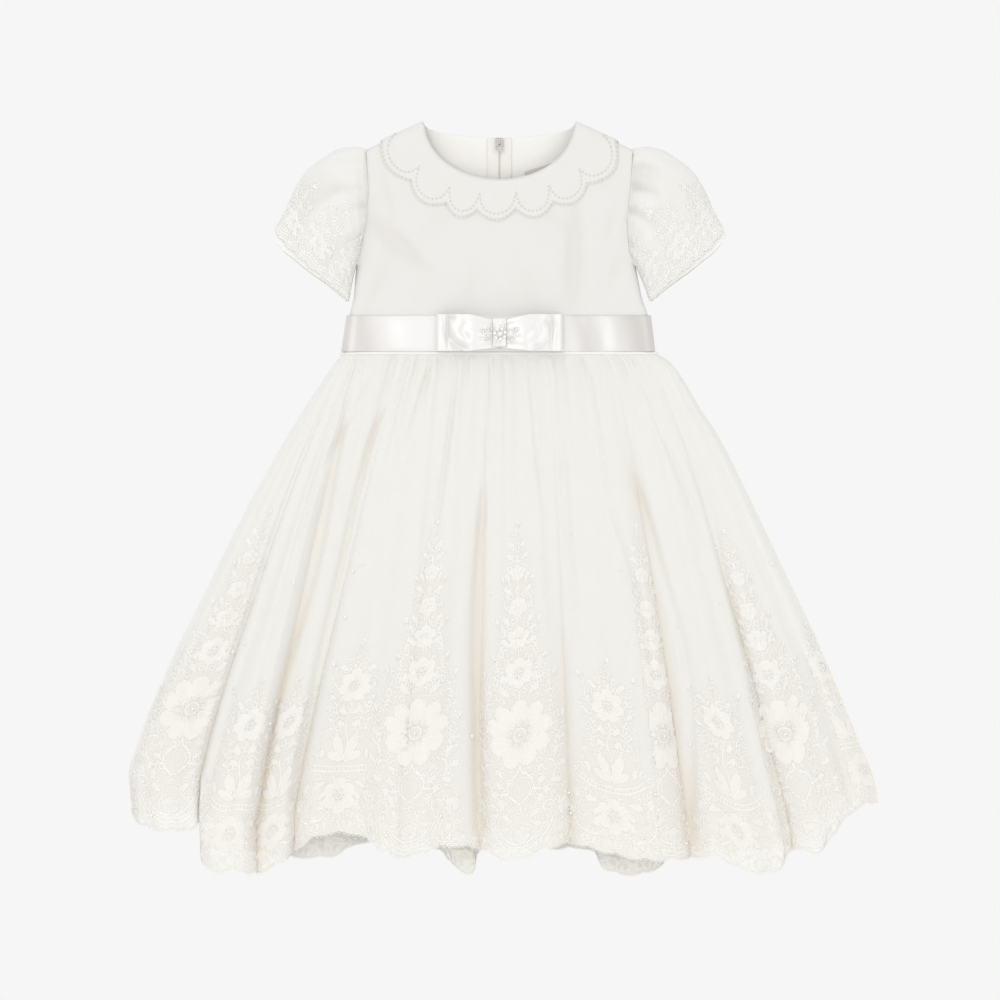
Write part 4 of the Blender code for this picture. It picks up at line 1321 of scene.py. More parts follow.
def make_sleeve(side, node, beads):
    around = 150
    turn, share = crossed(np.linspace(0, 1, around, endpoint=False), np.linspace(0, 1, 64))
    points, tone = sleeve_points(side, turn, share * sleeve_end(turn))
    outer = skin(node + "_organza", points, CAP_ORGANZA, closed=True)
    dressed(outer, node, tone)
    turn, share = crossed(np.linspace(0, 1, 110, endpoint=False), np.linspace(0, 1, 44))
    base = sleeve_points(side, turn, share)[0]
    wrapped = np.concatenate([base[-1:], base, base[:1]])
    away = normals_of(wrapped, upward=False)[1:-1]
    depth = 1.3 * np.minimum(share * 10, 1.0)
    lining = skin(node + "_lining", base - away * depth[..., None], UNDER, closed=True)
    dressed(lining)
    pieces = []
    for half, facing in ((0, 1), (1, -1)):
        t_turn, down = crossed(np.linspace(0.012, 0.488, 90) + 0.5 * half, np.linspace(0, 1, 90))
        grid = sleeve_points(side, t_turn, down * sleeve_end(t_turn))[0]
        if half:
            grid = grid[::-1]
        surface = Surface(grid, np.linspace(0, 1, 90), np.linspace(0, 1, 90))
        surface.normals = surface.normals * facing
        pieces += sleeve_lace(surface, None if half else beads)
    lace_mesh(node + "_lace", pieces)


SLEEVE_GROUND = [(5, 18), (28, 17), (40, 13), (52, 8), (62, 3)]
SLEEVE_CLEAR = [(0, 20, 9.5), (11.5, 12.5, 6.2), (0, 4, 4)]


def sleeve_motif(scale):
    """Scrolls that run along the cuff, with a flower and leaves above."""
    work = Work()
    work.vine([(0, 6), (6, 4.2), (12, 4.6), (17, 7)], 1.2)
    work.vine([(0, 8.6), (7, 6.6), (12, 7.2), (17, 10)], 0.9)
    work.scroll(11.5, 12.5, 5.2, 1.4, 250, 600, 1.1, 26)
    work.petals([(5, 11, 60, 8, 3.6), (8, 22, 25, 8, 3.6), (14, 19, 75, 7, 3.2)])
    work.sprig([(10, 27), (12, 33), (10.5, 39), (12, 44)], 3, 4.6)
    work.pearl(11.5, 12.5, 0.9)
    work.filler(SLEEVE_GROUND, 5.0, SLEEVE_CLEAR, 12)
    work.mirrored()
    work.flower(0, 20, 9.0, 6)
    work.sprig([(0, 30), (1.5, 38), (-1, 46), (0.5, 55)], 4, 5.2)
    for row in range(len(work.points)):
        work.points[row] = work.points[row] * np.array([scale, scale, 1.0, 1.0])
    work.pearls = [(a * scale, h * scale, r) for a, h, r in work.pearls]
    return work


def sleeve_lace(surface, beads):
    parts = []
    width = surface.reach[-1, -1]
    half_cell = 1 / 6
    for step, scale in ((1, 0.95), (3, 1.05), (5, 0.95)):
        places = np.array([step - 1, step, step + 1]) * half_cell * width
        low, foot, high = np.interp(places, surface.reach[:, -1], surface.across)
        parts.append(lay(sleeve_motif(scale), surface, foot, (low, high), beads))
    edge = Work()
    edge_lines(edge, width)
    parts.append(lay_edge(edge, surface))
    return parts


def edge_lines(work, length):
    """A bound edge with picot loops, drawn as distance along and height above the hem."""
    step = 1.6
    bound_width = 1.3
    bound_high = 0.6
    thin_width = 0.8
    pitch = 4.4
    places = np.linspace(0, length, int(length / step))
    work.cord(np.stack([places, 0.5 + 0 * places], 1), bound_width, bound_high)
    work.cord(np.stack([places, 2.5 + 0.3 * np.sin(places / 1.7)], 1), thin_width)
    turn = np.linspace(math.pi, 2 * math.pi, 7)
    picot = np.stack([1.7 * np.cos(turn), 0.2 + 2.0 * np.sin(turn)], 1)
    for middle in np.arange(pitch / 2, length - pitch / 4, pitch):
        work.cord(picot + (middle, 0.0), thin_width, 0.4)


# The skirt

SKIRT_COLUMNS = 496
SKIRT_ROWS = 168
SCALLOP = 25.0
SCALLOP_DEEP = 2.8

# The gathers: how high they stand, and the shares of the skirt's length where they start and have run out
GATHER_HIGH = 1.4
GATHER_START = 0.02
GATHER_END = 0.3


def side_share(rows, v):
    """The place in the rows of a side at a share of its length."""
    reach = lengths(np.array(rows, float))
    return np.interp(v, reach / reach[-1], np.linspace(0, 1, len(rows)))


def skirt_side(rows):
    return lambda v: along(rows, side_share(rows, v))


def waist_place(u):
    """X of the gathered waist at shares across."""
    return along([[row.waist_x] for row in FOLDS], u)[..., 0]


def skirt_plan(u, v):
    """The place of the skirt's front, u across from left to right and v from the waist to the hem."""
    down = v[..., None]
    hem = along([[row.hem_x, row.hem_y] for row in FOLDS], u)
    waist = np.stack([waist_place(u), np.full(u.shape, WAIST_Y)], -1)
    straight = waist * (1 - down) + hem * down
    for rows, weight in ((SKIRT_LEFT, (1 - u) ** 2.5), (SKIRT_RIGHT, u ** 2.5)):
        start, end = np.array(rows[0]), np.array(rows[-1])
        bow = skirt_side(rows)(v) - start * (1 - down) - end * down
        straight = straight + weight[..., None] * bow
    return straight


def folded(values, share):
    """Runs through rows of heights with round ridges, and valleys that close to a crease."""
    sharpness = 0.74
    table, start, part = spread(values, share)
    inner = table[1:-1]
    is_low = np.zeros(len(table), bool)
    is_low[1:-1] = (inner < table[:-2]) & (inner < table[2:])
    plain = 0.5 - 0.5 * np.cos(math.pi * part)
    rising = np.sin(0.5 * math.pi * part) ** sharpness
    falling = 1 - np.cos(0.5 * math.pi * part) ** sharpness
    turn = np.where(is_low[start], rising, np.where(is_low[start + 1], falling, plain))
    return table[start] * (1 - turn) + table[start + 1] * turn


def skirt_height(u, v, x, left, right):
    """The height of the skirt's front: gathers at the waist that open into folds at the hem."""
    crest = folded([row.crest for row in FOLDS], u)
    waists = np.array([row.waist_x for row in FOLDS])
    place = np.clip(np.searchsorted(waists, x) - 1, 0, len(waists) - 2)
    apart = np.diff(waists)[place]
    gather = np.minimum(0.12 * apart, GATHER_HIGH) * np.cos(2 * math.pi * u * (len(FOLDS) - 1))
    high = SKIRT_WAIST_Z + (crest - SKIRT_WAIST_Z) * v ** 0.85
    high = high + gather * np.maximum(1 - v / GATHER_END, 0.0) * smooth(v / GATHER_START)
    high = high + fine_gathers(u, v)
    inside = np.maximum(np.minimum(x - left, right - x), 0.0)
    level = 1 - np.minimum(inside / SKIRT_EDGE_ROUND, 1.0)
    return SKIRT_EDGE_Z + (np.maximum(high, SKIRT_EDGE_Z) - SKIRT_EDGE_Z) * np.sqrt(1 - level * level)


def fine_gathers(u, v):
    """Small uneven pleats under the waist, and long soft ripples that they open into."""
    place = (waist_place(u) - FOLDS[0].waist_x) / (FOLDS[-1].waist_x - FOLDS[0].waist_x)
    tight = ruffle(place, 21, 118) * 0.9 * np.exp(-v / 0.05)
    loose = ruffle(place, 22, 64) * 1.6 * np.exp(-v / 0.2)
    long = ruffle(place + 0.01 * np.sin(5 * v), 23, 40) * 1.1 * bump(v, 0.3, 0.35)
    soft = ruffle(u + 0.006 * np.sin(4 * v + 1), 24, 60) * 1.0 * smooth(v / 0.35)
    return (tight + loose) * smooth(v / GATHER_START) + long + soft


# Drawn folds that end below this run on to the hem, and the others fade out
HEM_TROUGH_Y = -240.0


def trough_depth(x, y):
    """How deep the drawn folds of the skirt's front are at points."""
    depth = np.zeros(x.shape)
    for row in TROUGHS:
        line = along(row.path, np.linspace(0, 1, 28))
        near = (np.abs(x - np.clip(x, line[:, 0].min(), line[:, 0].max())) < 4 * row.width)
        near &= (np.abs(y - np.clip(y, line[:, 1].min(), line[:, 1].max())) < 4 * row.width)
        point = np.stack([x[near], y[near]], -1)
        best = np.full(len(point), 1e9)
        best_share = np.zeros(len(point))
        for step, (start, end) in enumerate(zip(line, line[1:])):
            share, distance = beside(point, start, end)
            nearer = distance < best
            best = np.where(nearer, distance, best)
            best_share = np.where(nearer, (step + share) / (len(line) - 1), best_share)
        width = row.width * (0.7 + 0.6 * best_share)
        to_hem = line[-1][1] < HEM_TROUGH_Y
        fade = smooth(best_share / 0.22) * (1.0 if to_hem else smooth((1 - best_share) / 0.3))
        depth[near] += row.depth * bump(best, 0, width) * fade
    return depth


def hem_scallops(points, deep):
    """Draws the rows next to a hem out into scallops."""
    out = deep * (np.abs(np.sin(math.pi * lengths(points[:, -1]) / SCALLOP)) ** 0.7 - 0.55)
    reach = 8
    way = unit(points[:, -1] - points[:, -1 - reach])
    weight = smooth((np.arange(points.shape[1]) - points.shape[1] + 1 + reach) / reach)
    return points + (out[:, None] * way)[:, None, :] * weight[None, :, None]


def skirt_front_surface():
    across = shares(SKIRT_COLUMNS)
    down = shares(SKIRT_ROWS) ** 1.1
    u, v = crossed(across, down)
    spot = skirt_plan(u, v)
    x, y = spot[..., 0], spot[..., 1]
    left = np.broadcast_to(x[:1], x.shape)
    right = np.broadcast_to(x[-1:], x.shape)
    height = skirt_height(u, v, x, left, right)
    side_room = 20.0
    waist_swell = 2.0
    over_lining = LINING_HIGH + 0.7
    taper = np.minimum(np.minimum(x - left, right - x) / side_room, 1.0)
    height = height - trough_depth(x, y) * taper * smooth(v / 0.02)
    height = height + waist_swell * np.exp(-v / 0.035) * taper
    height = np.where(taper >= 1.0, np.maximum(height, over_lining), height)
    points = np.stack([x, y, height], -1)
    return Surface(hem_scallops(points, SCALLOP_DEEP), across, down, fold_shade(height))


def softened(values, width):
    """A grid of values, each spread over its neighbours across."""
    reach = int(2.75 * width)
    weights = bump(np.arange(-reach, reach + 1), 0, width)
    weights /= weights.sum()
    padded = np.pad(values, ((reach, reach), (0, 0)), mode="edge")
    return sum(weight * padded[step : step + len(values)] for step, weight in enumerate(weights))


def fold_shade(height):
    """How deep each point lies below the cloth on both sides of it, from 0 to 1: the share of painted shade
    in the skirt's valleys.
    """
    shallowest = 0.6
    deepest = 5.2
    darkest = 0.72
    sunk = np.clip((softened(height, 8.0) - height - shallowest) / deepest, 0.0, 1.0)
    return np.clip(0.4 * sunk + 0.75 * softened(sunk, 4.0), 0.0, darkest)


def skirt_back_surface():
    hem = [SKIRT_LEFT[-1]] + BACK_HEM + [SKIRT_RIGHT[-1]]
    across = shares(330)
    down = shares(100)
    level = 0.95
    waist = run_between(np.array(SKIRT_LEFT[0], float), np.array(SKIRT_RIGHT[0], float))
    plan = patch(waist, lambda u: along(hem, u), skirt_side(SKIRT_LEFT), skirt_side(SKIRT_RIGHT))
    u, v = crossed(across, down)
    spot = plan(u, v)
    height = level + 0.16 * ruffle(u + 0.01 * np.sin(6 * v), 31, 60) * smooth(v / 0.1)
    points = np.concatenate([spot, height[..., None]], -1)
    surface = Surface(hem_scallops(points, SCALLOP_DEEP), across, down)
    # Painted shadow on the back's inside near its hem, where the front's hem hangs over it; it fades out
    # higher up
    surface.shade = 0.2 * smooth((surface.above - 2.0) / 9.0) * (1 - smooth((surface.above - 18.0) / 42.0))
    surface.normals = -surface.normals
    return surface


def make_skirt_cloth(surface, node):
    dressed(skin(node + "_cloth", surface.points, ORGANZA), node, surface.shade)


def make_lining():
    """The opaque underskirt: a flattened tube between the skirt's front and back."""
    around = 150
    middle = (SKIRT_LOW_Z - WALL + LINING_HIGH) / 2
    half = (LINING_HIGH - SKIRT_LOW_Z + WALL) / 2
    turn, v = crossed(np.linspace(0, 1, around, endpoint=False), shares(60))
    angle = 2 * math.pi * turn
    share = 0.5 - 0.5 * np.cos(angle)
    hem_y = LINING_HEM_Y - LINING_HEM_BOW * np.sin(math.pi * share)
    y = WAIST_Y - 1 + v * (hem_y - WAIST_Y + 1)
    inset = 5 + 19 * v
    edges = []
    for rows, sign in ((SKIRT_LEFT, 1), (SKIRT_RIGHT, -1)):
        table = np.array(rows, float)[::-1]
        edges.append(np.interp(y, table[:, 1], table[:, 0]) + sign * inset)
    x = edges[0] + (edges[1] - edges[0]) * share
    swell = np.sin(angle)
    rise = half * np.copysign(np.minimum(np.abs(swell) / 0.35, 1.0) ** 0.6, swell)
    drape = -0.5 * (1 - ruffle(share + 0.02 * np.sin(3 * v), 41, 34)) * smooth(v / 0.2) * (swell > 0.35)
    points = np.stack([x, y, middle + rise + drape], -1)
    dressed(skin("skirt_lining_cloth", points, UNDER, closed=True), "skirt_lining")


# The lace of the skirt: tall spires and low bouquets over a bound scalloped edge

def hem_scrolls(work, reach):
    """Concentric scrolls over the hem with a ring flower, drawn on one side."""
    for step, radius in enumerate((34.5, 31.0, 27.5, 24.5)):
        work.arc(0, 37, radius, 270, 346 - 5 * step, 1.5 if step % 2 else 1.2, 22)
    for turn in np.radians(np.arange(274, 340, 6)):
        way = np.array([math.cos(turn), math.sin(turn)])
        work.cord([24.8 * way + (0, 37), 27.3 * way + (0, 37)], 0.7)
    work.scroll(25, 38, 6.2, 1.5, -10, 420, 1.2, 28)
    work.vine([(33, 4), (reach - 4, 9), (reach, 18), (reach - 4, 26)], 1.0)
    work.petals([
        (9, 33, 30, 9, 4), (11, 27, -20, 8, 3.6), (15, 42, 65, 10, 4.6),
        (35, 12, 70, 9, 4.4), (38, 28, 100, 9, 4.2),
    ])
    work.flower(reach - 1, 38, 6.2, 5)
    work.pearl(25, 38, 1.0)


# Half widths of the filled ground at heights above the hem, and the circles that it keeps out of
SPIRE_GROUND = [(10, 50), (46, 48), (62, 40), (108, 38), (140, 30), (180, 21), (220, 14), (262, 8), (292, 2)]
SPIRE_CLEAR = [
    (0, 20, 11), (0, 37, 5), (0, 61, 12), (0, 108, 29), (0, 162, 14), (0, 193, 10.5), (0, 220, 9),
    (0, 250, 7.5), (25, 38, 7.5), (41, 38, 7.5), (25, 74, 7.5), (20, 18, 9), (29, 22, 8), (10, 10, 8),
]
# Leaves beside the spire's stem: where each springs from, its angle and its length
SPIRE_LEAVES = [
    (14, 62, 15, 9), (20, 56, -35, 8), (29, 61, -20, 9), (34, 71, 25, 10), (31, 80, 70, 10),
    (16, 70, 60, 8), (9, 142, 40, 10), (13, 152, 75, 9), (7, 186, 30, 9), (11, 196, 60, 8),
    (8, 205, 45, 8), (5, 232, 35, 8), (7, 243, 65, 7), (4, 262, 40, 7), (3.5, 272, 60, 6),
]


def spire(pitch):
    """A tall motif: scrolls, a looped stem, a large flower, and a climbing spray that narrows to a bud."""
    work = Work()
    hem_scrolls(work, 42)
    work.vine([(0, 47), (7, 52), (12, 60), (9, 69), (2, 75), (0, 82)], 1.3)
    work.vine([(3, 50), (8, 55), (8.5, 62), (5, 68), (0, 71)], 0.9)
    work.vine([(12, 58), (20, 55), (28, 60), (33, 70), (30, 79)], 1.2)
    work.scroll(25, 74, 6.0, 1.4, 20, 400, 1.0, 26)
    work.petals([(a, h, angle, size, 0.46 * size) for a, h, angle, size in SPIRE_LEAVES])
    work.sprig([(31, 84), (37, 94), (36, 106), (39, 116)], 5, 7)
    work.sprig([(27, 122), (32, 132), (28, 144), (31, 154)], 5, 6.4)
    work.sprig([(14, 142), (20, 150), (18, 161), (22, 171)], 4, 6)
    work.sprig([(9, 172), (17, 181), (15, 193), (18, 204)], 4, 5.4)
    work.sprig([(5, 214), (12, 222), (9, 233), (12, 242)], 4, 4.8)
    work.filler(SPIRE_GROUND, pitch, SPIRE_CLEAR, 5)
    work.mirrored()
    work.flower(0, 20, 7.5, 6)
    work.ring(0, 20, 9.8, 1.0, 22)
    work.flower(0, 108, 30, 9)
    work.flower(0, 162, 13, 6)
    work.flower(0, 193, 9.5, 5)
    work.flower(0, 220, 8.0, 5, turn=270)
    work.flower(0, 250, 6.6, 5)
    work.vine([(0, 136), (0, 150), (0, 200), (0, 262)], 1.0, 40)
    work.sprig([(0, 262), (1.5, 272), (-1, 282), (0.5, 292)], 4, 5)
    return work


BOUQUET_GROUND = [(8, 46), (44, 44), (70, 32), (100, 25), (130, 22), (150, 12), (166, 3)]
BOUQUET_CLEAR = [
    (0, 31, 16), (0, 58, 12), (12, 58, 8), (24, 62, 7), (34, 66, 7), (0, 75, 12), (10, 72, 10), (28, 30, 8),
    (0, 128, 15), (16, 38, 7),
]


def bouquet(pitch):
    """A low motif: a flower, a barred swag, a pair of long leaves and a spray."""
    work = Work()
    work.vine([(0, 52), (10, 52.6), (20, 55.5), (31, 61)], 1.3)
    work.vine([(0, 56.5), (10, 57), (20, 60), (29, 65)], 1.2)
    for step in range(9):
        a = 2.5 + 3.2 * step
        low = 52.1 + 0.0092 * a * a
        work.cord([(a, low), (a - 0.2, low + 4.2)], 1.0)
    work.scroll(34, 66, 5.0, 1.3, 230, 600, 1.1, 26)
    work.petal(0.6, 62, 66, 24, 9, veins=3)
    work.petal(1.0, 61, 32, 17, 7, veins=2)
    work.vine([(10, 18), (20, 12), (30, 14), (37, 22), (35, 34), (28, 40)], 1.2)
    work.scroll(28, 30, 6.4, 1.4, 80, -250, 1.0, 24)
    work.petals([
        (20, 66, 80, 9, 4), (14, 44, -12, 12, 5), (12, 37, -45, 10, 4.6), (15, 28, -70, 9, 4.2),
        (20, 11, 20, 9, 4), (38, 27, 55, 9, 4), (34, 40, 95, 10, 4.6),
        (3, 92, 35, 9, 4), (4, 102, 55, 9, 4), (9, 142, 40, 9, 4),
    ])
    work.sprig([(8, 84), (14, 96), (13, 108), (18, 118)], 5, 6.6)
    work.sprig([(14, 126), (20, 134), (19, 143), (23, 151)], 4, 5.6)
    work.pearl(28, 30, 1.0)
    work.filler(BOUQUET_GROUND, pitch, BOUQUET_CLEAR, 8)
    work.mirrored()
    work.flower(0, 31, 15.5, 6)
    work.vine([(0, 62), (2, 78), (-2, 94), (1, 106), (0, 114)], 1.2, 30)
    work.flower(0, 128, 14.5, 7)
    work.sprig([(0, 142), (2, 150), (-1, 158), (1, 166)], 4, 5.4)
    return work


# The feet of the motifs on the front hem, from the left, each with the places in X that it is cut off at
FRONT_MOTIFS = [
    ("spire", -290, -328, -266),
    ("bouquet", -240, -265, -219),
    ("bouquet", -203, -219, -186),
    ("bouquet", -146, -186, -122),
    ("spire", -84, -126, -22),
    ("spire", 16, -22, 60),
    ("bouquet", 97, 56, 142),
    ("spire", 150, 136, 164),
    ("bouquet", 207, 164, 252),
    ("spire", 272, 246, 309),
    ("bouquet", 323, 309, 330),
]
BACK_MOTIFS = [
    ("spire", -290, -328, -250),
    ("bouquet", -210, -250, -170),
    ("spire", -126, -170, -84),
    ("bouquet", -44, -84, -4),
    ("spire", 40, -4, 82),
    ("bouquet", 122, 82, 164),
    ("spire", 204, 164, 246),
    ("bouquet", 286, 246, 330),
]


# How much the denser net under a motif deepens the cloth's tone, together with painted shade between its
# threads
NET_TONE_AND_PAINTED_SHADE = 0.17


def lace_on(surface, motifs, name, beads, pitch, lift=ON_CLOTH):
    """The lace of one side of the skirt: the spires, the bouquets and the border, each a joined mesh."""
    shapes = {"spire": spire(pitch), "bouquet": bouquet(pitch)}
    grounds = {"spire": SPIRE_GROUND, "bouquet": BOUQUET_GROUND}
    parts = {"spire": [], "bouquet": []}
    for kind, foot, low, high in motifs:
        cell = (surface.hem_share(low), surface.hem_share(high))
        parts[kind].append(lay(shapes[kind], surface, surface.hem_share(foot), cell, beads, lift))
        surface.tint_ground(surface.hem_share(foot), cell, grounds[kind], NET_TONE_AND_PAINTED_SHADE)
    edge = Work()
    length = surface.reach[-1, -1]
    edge_lines(edge, length)
    for middle in np.arange(SCALLOP / 2, length - SCALLOP / 4, SCALLOP):
        edge.arc(middle, 10.5, 7.2, 198, 342, 0.9, 12)
        for step in (-1, 0, 1):
            edge.petal(middle + 4.6 * step, 5.2 + 0.8 * abs(step), 90 - 28 * step, 5.6, 2.6, veins=0)
        edge.ring(middle + SCALLOP / 2, 6.5, 1.9, 0.8, 9)
    parts["border"] = [lay_edge(edge, surface, lift)]
    for kind, some in parts.items():
        lace_mesh(f"{name}_{kind}", some, surface)


def scatter_sequins(surface, beads, seed, count):
    """Pearls over the lace, more of them low down."""
    rng = np.random.default_rng(seed)
    length = surface.reach[-1, -1]
    rows = len(surface.across) - 1
    columns = len(surface.down) - 1
    for _ in range(count):
        row = np.interp(rng.uniform(0.02, 0.98) * length, surface.reach[:, -1], np.arange(rows + 1.0))
        height = 12 + 250 * rng.uniform() ** 2.2
        column = columns * (1 - height / surface.above[int(row), 0])
        place = surface.at(np.array([row]), np.array([column]), [0.3])[0]
        top = surface.at(np.array([row]), np.array([column]), [1.3])[0]
        up = unit(top - place)
        radius = rng.choice([0.8, 1.0, 1.4])
        beads.sew(place + up * radius * PEARL_SEAT, up, radius)


# The bow

BOW_Y = 145.0
BOW_REACH = 52.0
BOW_START = 1.2
BOW_TURN = 2.4
BOW_LOW = PIECE + GAP
# Each loop runs out over the first share of its ribbon, and has turned over at the second
BOW_OUT = 0.4
BOW_BACK = 0.6
BOW_THICK = 1.0
BOW_PUFF = 2.2
BOW_PINCH = 26.0
BOW_PLEAT_X = 45.5
KNOT_HALF = 6.0
KNOT_REACH = 12.5
KNOT_EASE = 0.8
KNOT_LOW = BOW_LOW + 2 * BOW_THICK + 2 * BOW_TURN + GAP + KNOT_EASE

# Crescent hollows in each loop's front, where the ribbon is pinched, as seen on the left
BOW_HOLLOWS = [
    Trough([(43, 156.5), (46, 149), (44, 141), (38, 134), (32, 131)], 4.4, 1.7),
    Trough([(30, 152), (32, 146), (28, 140)], 3.2, 0.6),
]


def bow_half(x):
    """Half the width of the ribbon, which the knot draws in."""
    return 11.8 + 4.3 * np.minimum(x / BOW_PINCH, 1.0) ** 1.2


def bow_points(side, steps, across, lift):
    """A loop of ribbon that runs out, turns over and comes back, with the hollows of its front and the
    painted shade in them.
    """
    share, t = crossed(steps, across)
    angle = math.pi * np.clip((share - BOW_OUT) / (BOW_BACK - BOW_OUT), 0, 1)
    back = np.clip((share - BOW_BACK) / (1 - BOW_BACK), 0, 1)
    out = BOW_START + (BOW_REACH - BOW_START) * np.minimum(share / BOW_OUT, 1.0)
    x = out + BOW_TURN * np.sin(angle) - (BOW_REACH - BOW_START) * back
    rise = BOW_TURN * (1 - np.cos(angle)) + BOW_PUFF * np.sin(math.pi * back)
    near = 1 - np.minimum(x / BOW_PINCH, 1.0)
    y = BOW_Y - 1.6 * near + (t - 0.5) * 2 * bow_half(x)
    front = smooth(back / 0.06)
    pleats = 0.7 * np.sin(t * 2 * math.pi * 4.5 + side) * np.exp(-x / 9.0)
    rim = 0.5 * bump(x, 49, 2.2) - 0.7 * bump(x, BOW_PLEAT_X, 1.3)
    hollow = np.zeros(x.shape)
    for row in BOW_HOLLOWS:
        line = along(row.path, np.linspace(0, 1, 20))
        gap = np.stack([x, y], -1)[..., None, :] - line
        best = np.linalg.norm(gap, axis=-1).min(axis=-1)
        hollow += row.depth * bump(best, 0, row.width)
    puff = 1.1 * bump(x, 22, 9) * bump(y, BOW_Y - 2, 9)
    shape = front * (pleats + rim - hollow + puff)
    base = torso(CENTRE_X + side * x, y, 1, BOW_LOW + BOW_THICK)[..., 2]
    up = -lift * np.cos(angle)
    away = lift * np.sin(angle)
    crease = 0.25 * bump(x, BOW_PLEAT_X, 1.5)
    # Painted shade in the hollows, the pleats and the crease, lighter on the right loop
    tone = front * (0.3 * hollow + 0.2 * np.maximum(-pleats, 0) + crease) * (1.0 if side < 0 else 0.7)
    points = np.stack([CENTRE_X + side * (x + away), y, base + rise + up + shape], -1)
    return points, np.clip(tone, 0.0, 1.0)


def make_bow_loop(side, node):
    steps = [*np.linspace(0, BOW_OUT, 26), *np.linspace(BOW_OUT, BOW_BACK, 16)[1:]]
    steps += [*np.linspace(BOW_BACK, 1, 90)[1:]]
    across = [0, 0.004, 0.012, *np.linspace(0.03, 0.97, 42), 0.988, 0.996, 1]
    outer, tone = bow_points(side, steps, across, BOW_THICK)
    inner = bow_points(side, steps, across, 0.3)[0]
    piece = double_skin(node + "_cloth", outer, inner, SATIN)
    dressed(piece, node, np.concatenate([tone, tone]))


def knot_height(x, y):
    """The height of the knot's underside, crowned both ways and finely pleated."""
    s = np.clip((x - CENTRE_X) / (2 * KNOT_HALF) + 0.5, 0, 1)
    t = np.clip((y - BOW_Y) / (2 * KNOT_REACH) + 0.5, 0, 1)
    crown = 1.5 * np.sin(math.pi * s) + 0.8 * np.sin(math.pi * t)
    pleats = 0.14 * np.cos(s * 2 * math.pi * 3)
    return torso(x, y, 1, KNOT_LOW)[..., 2] + crown + pleats


def make_bow_knot():
    s, t = crossed(shares(30), shares(30))
    drawn_in = 0.10
    side_start = 0.6
    side_round = 0.6
    waist = 1 - drawn_in * np.sin(math.pi * t)
    x = CENTRE_X + KNOT_HALF * (2 * s - 1) * waist
    y = BOW_Y + KNOT_REACH * (2 * t - 1)
    low = knot_height(x, y)
    rounding = side_round * np.maximum(np.abs(2 * s - 1) - side_start, 0.0) / (1 - side_start)
    outer = np.stack([x, y, low + WALL - rounding ** 2], -1)
    inner = np.stack([x, y, low + 0.4], -1)
    piece = double_skin("bow_knot_cloth", outer, inner, SATIN)
    dressed(piece, "bow_knot")


def bow_top(x, y):
    """The height of the bow's front under a bead."""
    aside = abs(x - CENTRE_X)
    one = np.array([1.0])
    knot = knot_height(one * x, one * y)[0] + WALL
    back = 1 - (aside - BOW_START) / (BOW_REACH - BOW_START)
    base = torso(one * x, one * y, 1, BOW_LOW + BOW_THICK)[0, 2]
    loop = base + 2 * BOW_TURN + BOW_PUFF * math.sin(math.pi * back) + BOW_THICK
    near = smooth(np.array((aside - 5.0) / 5.0))
    return float(knot * (1 - near) + (loop + 0.9) * near)


def make_bead_flower():
    """Pearls and seed beads sewn over the knot: a flower in the middle, loops and leaves round it."""
    beads = Beads()
    seeds = Beads()
    middle_x = -3.5
    middle_y = 143.6

    def put(group, x, y, radius, stack=0.0):
        group.sew((x, y, bow_top(x, y) + 0.45 * radius + stack), (0.0, 0.0, 1.0), radius)

    def ring(group, x, y, count, wide, high, radius, start=0.0, stack=0.0):
        for turn in start + 2 * math.pi * np.arange(count) / count:
            put(group, x + wide * math.cos(turn), y + high * math.sin(turn), radius, stack)

    put(beads, middle_x, middle_y, 2.2, 0.5)
    ring(beads, middle_x, middle_y, 7, 4.5, 4.5, 1.8, 0.3, 0.1)
    ring(seeds, middle_x, middle_y, 12, 2.6, 2.6, 0.6, 0.0, 1.2)
    loops = ((12.4, 0.45), (9.4, 1.35), (9.2, 2.3), (12.2, 2.85), (11.0, 3.7), (8.8, 4.6), (10.6, 5.6))
    for reach, turn in loops:
        x = middle_x + 1.25 * reach * math.cos(turn)
        y = middle_y + 0.72 * reach * math.sin(turn)
        put(beads, x, y, 1.1)
        ring(seeds, x, y, 9, 2.5, 2.1, 0.72)
    for side in (-1, 1):
        for step in range(6):
            x = middle_x + side * (10.5 + 1.5 * step)
            y = middle_y + 1.5 * side - 2.6 * math.sin(0.5 * step)
            put(seeds if step % 3 else beads, x, y, 0.8 if step % 3 else 1.15)
    beads.make("bow_pearls", "satin")
    seeds.make("bow_seed_beads", "satin")


# The zip and the label

TAPE_LOW = BACK_LOW + WALL + GAP
COIL_END = 4.0


def make_zip_tape(side, node):
    coil_room = 0.5
    tape_high = 0.8
    inner_x = CENTRE_X + side * coil_room
    outer_x = CENTRE_X + side * TAPE_WIDTH
    s, t = crossed(shares(12), shares(130))
    x = inner_x + (outer_x - inner_x) * s
    y = ZIP_LOW_Y + (ZIP_TOP_Y - ZIP_LOW_Y) * t
    ridge = 0.07 * bump(s, 0.32, 0.1) + 0.03 * np.sin(y * 2.1) * (s > 0.4)
    thinned = 0.72 * smooth((s - 0.55) / 0.45)
    top = np.stack([x, y, TAPE_LOW + tape_high + ridge - thinned], -1)
    bottom = np.stack([x, y, TAPE_LOW + 0.02 + 0 * x], -1)
    piece = double_skin(node + "_cloth", top, bottom, TAPE)
    dressed(piece, node)


def make_zip_coil():
    """The two interlocked coils between the tapes, up to the slider."""
    pitch = 1.5
    wire = 0.3
    half = 1.2
    level = 0.55
    half_high = 0.35
    parts = []
    y = np.linspace(ZIP_LOW_Y + 1, SLIDER_Y - COIL_END, 1150)
    for shift in (0.0, math.pi):
        turn = 2 * math.pi * y / pitch + shift
        height = TAPE_LOW + level + half_high * np.cos(turn)
        parts.append(tube(np.stack([CENTRE_X + half * np.sin(turn), y, height], -1), wire, 4))
    dressed(joined("zip_coil_teeth", parts, TEETH))


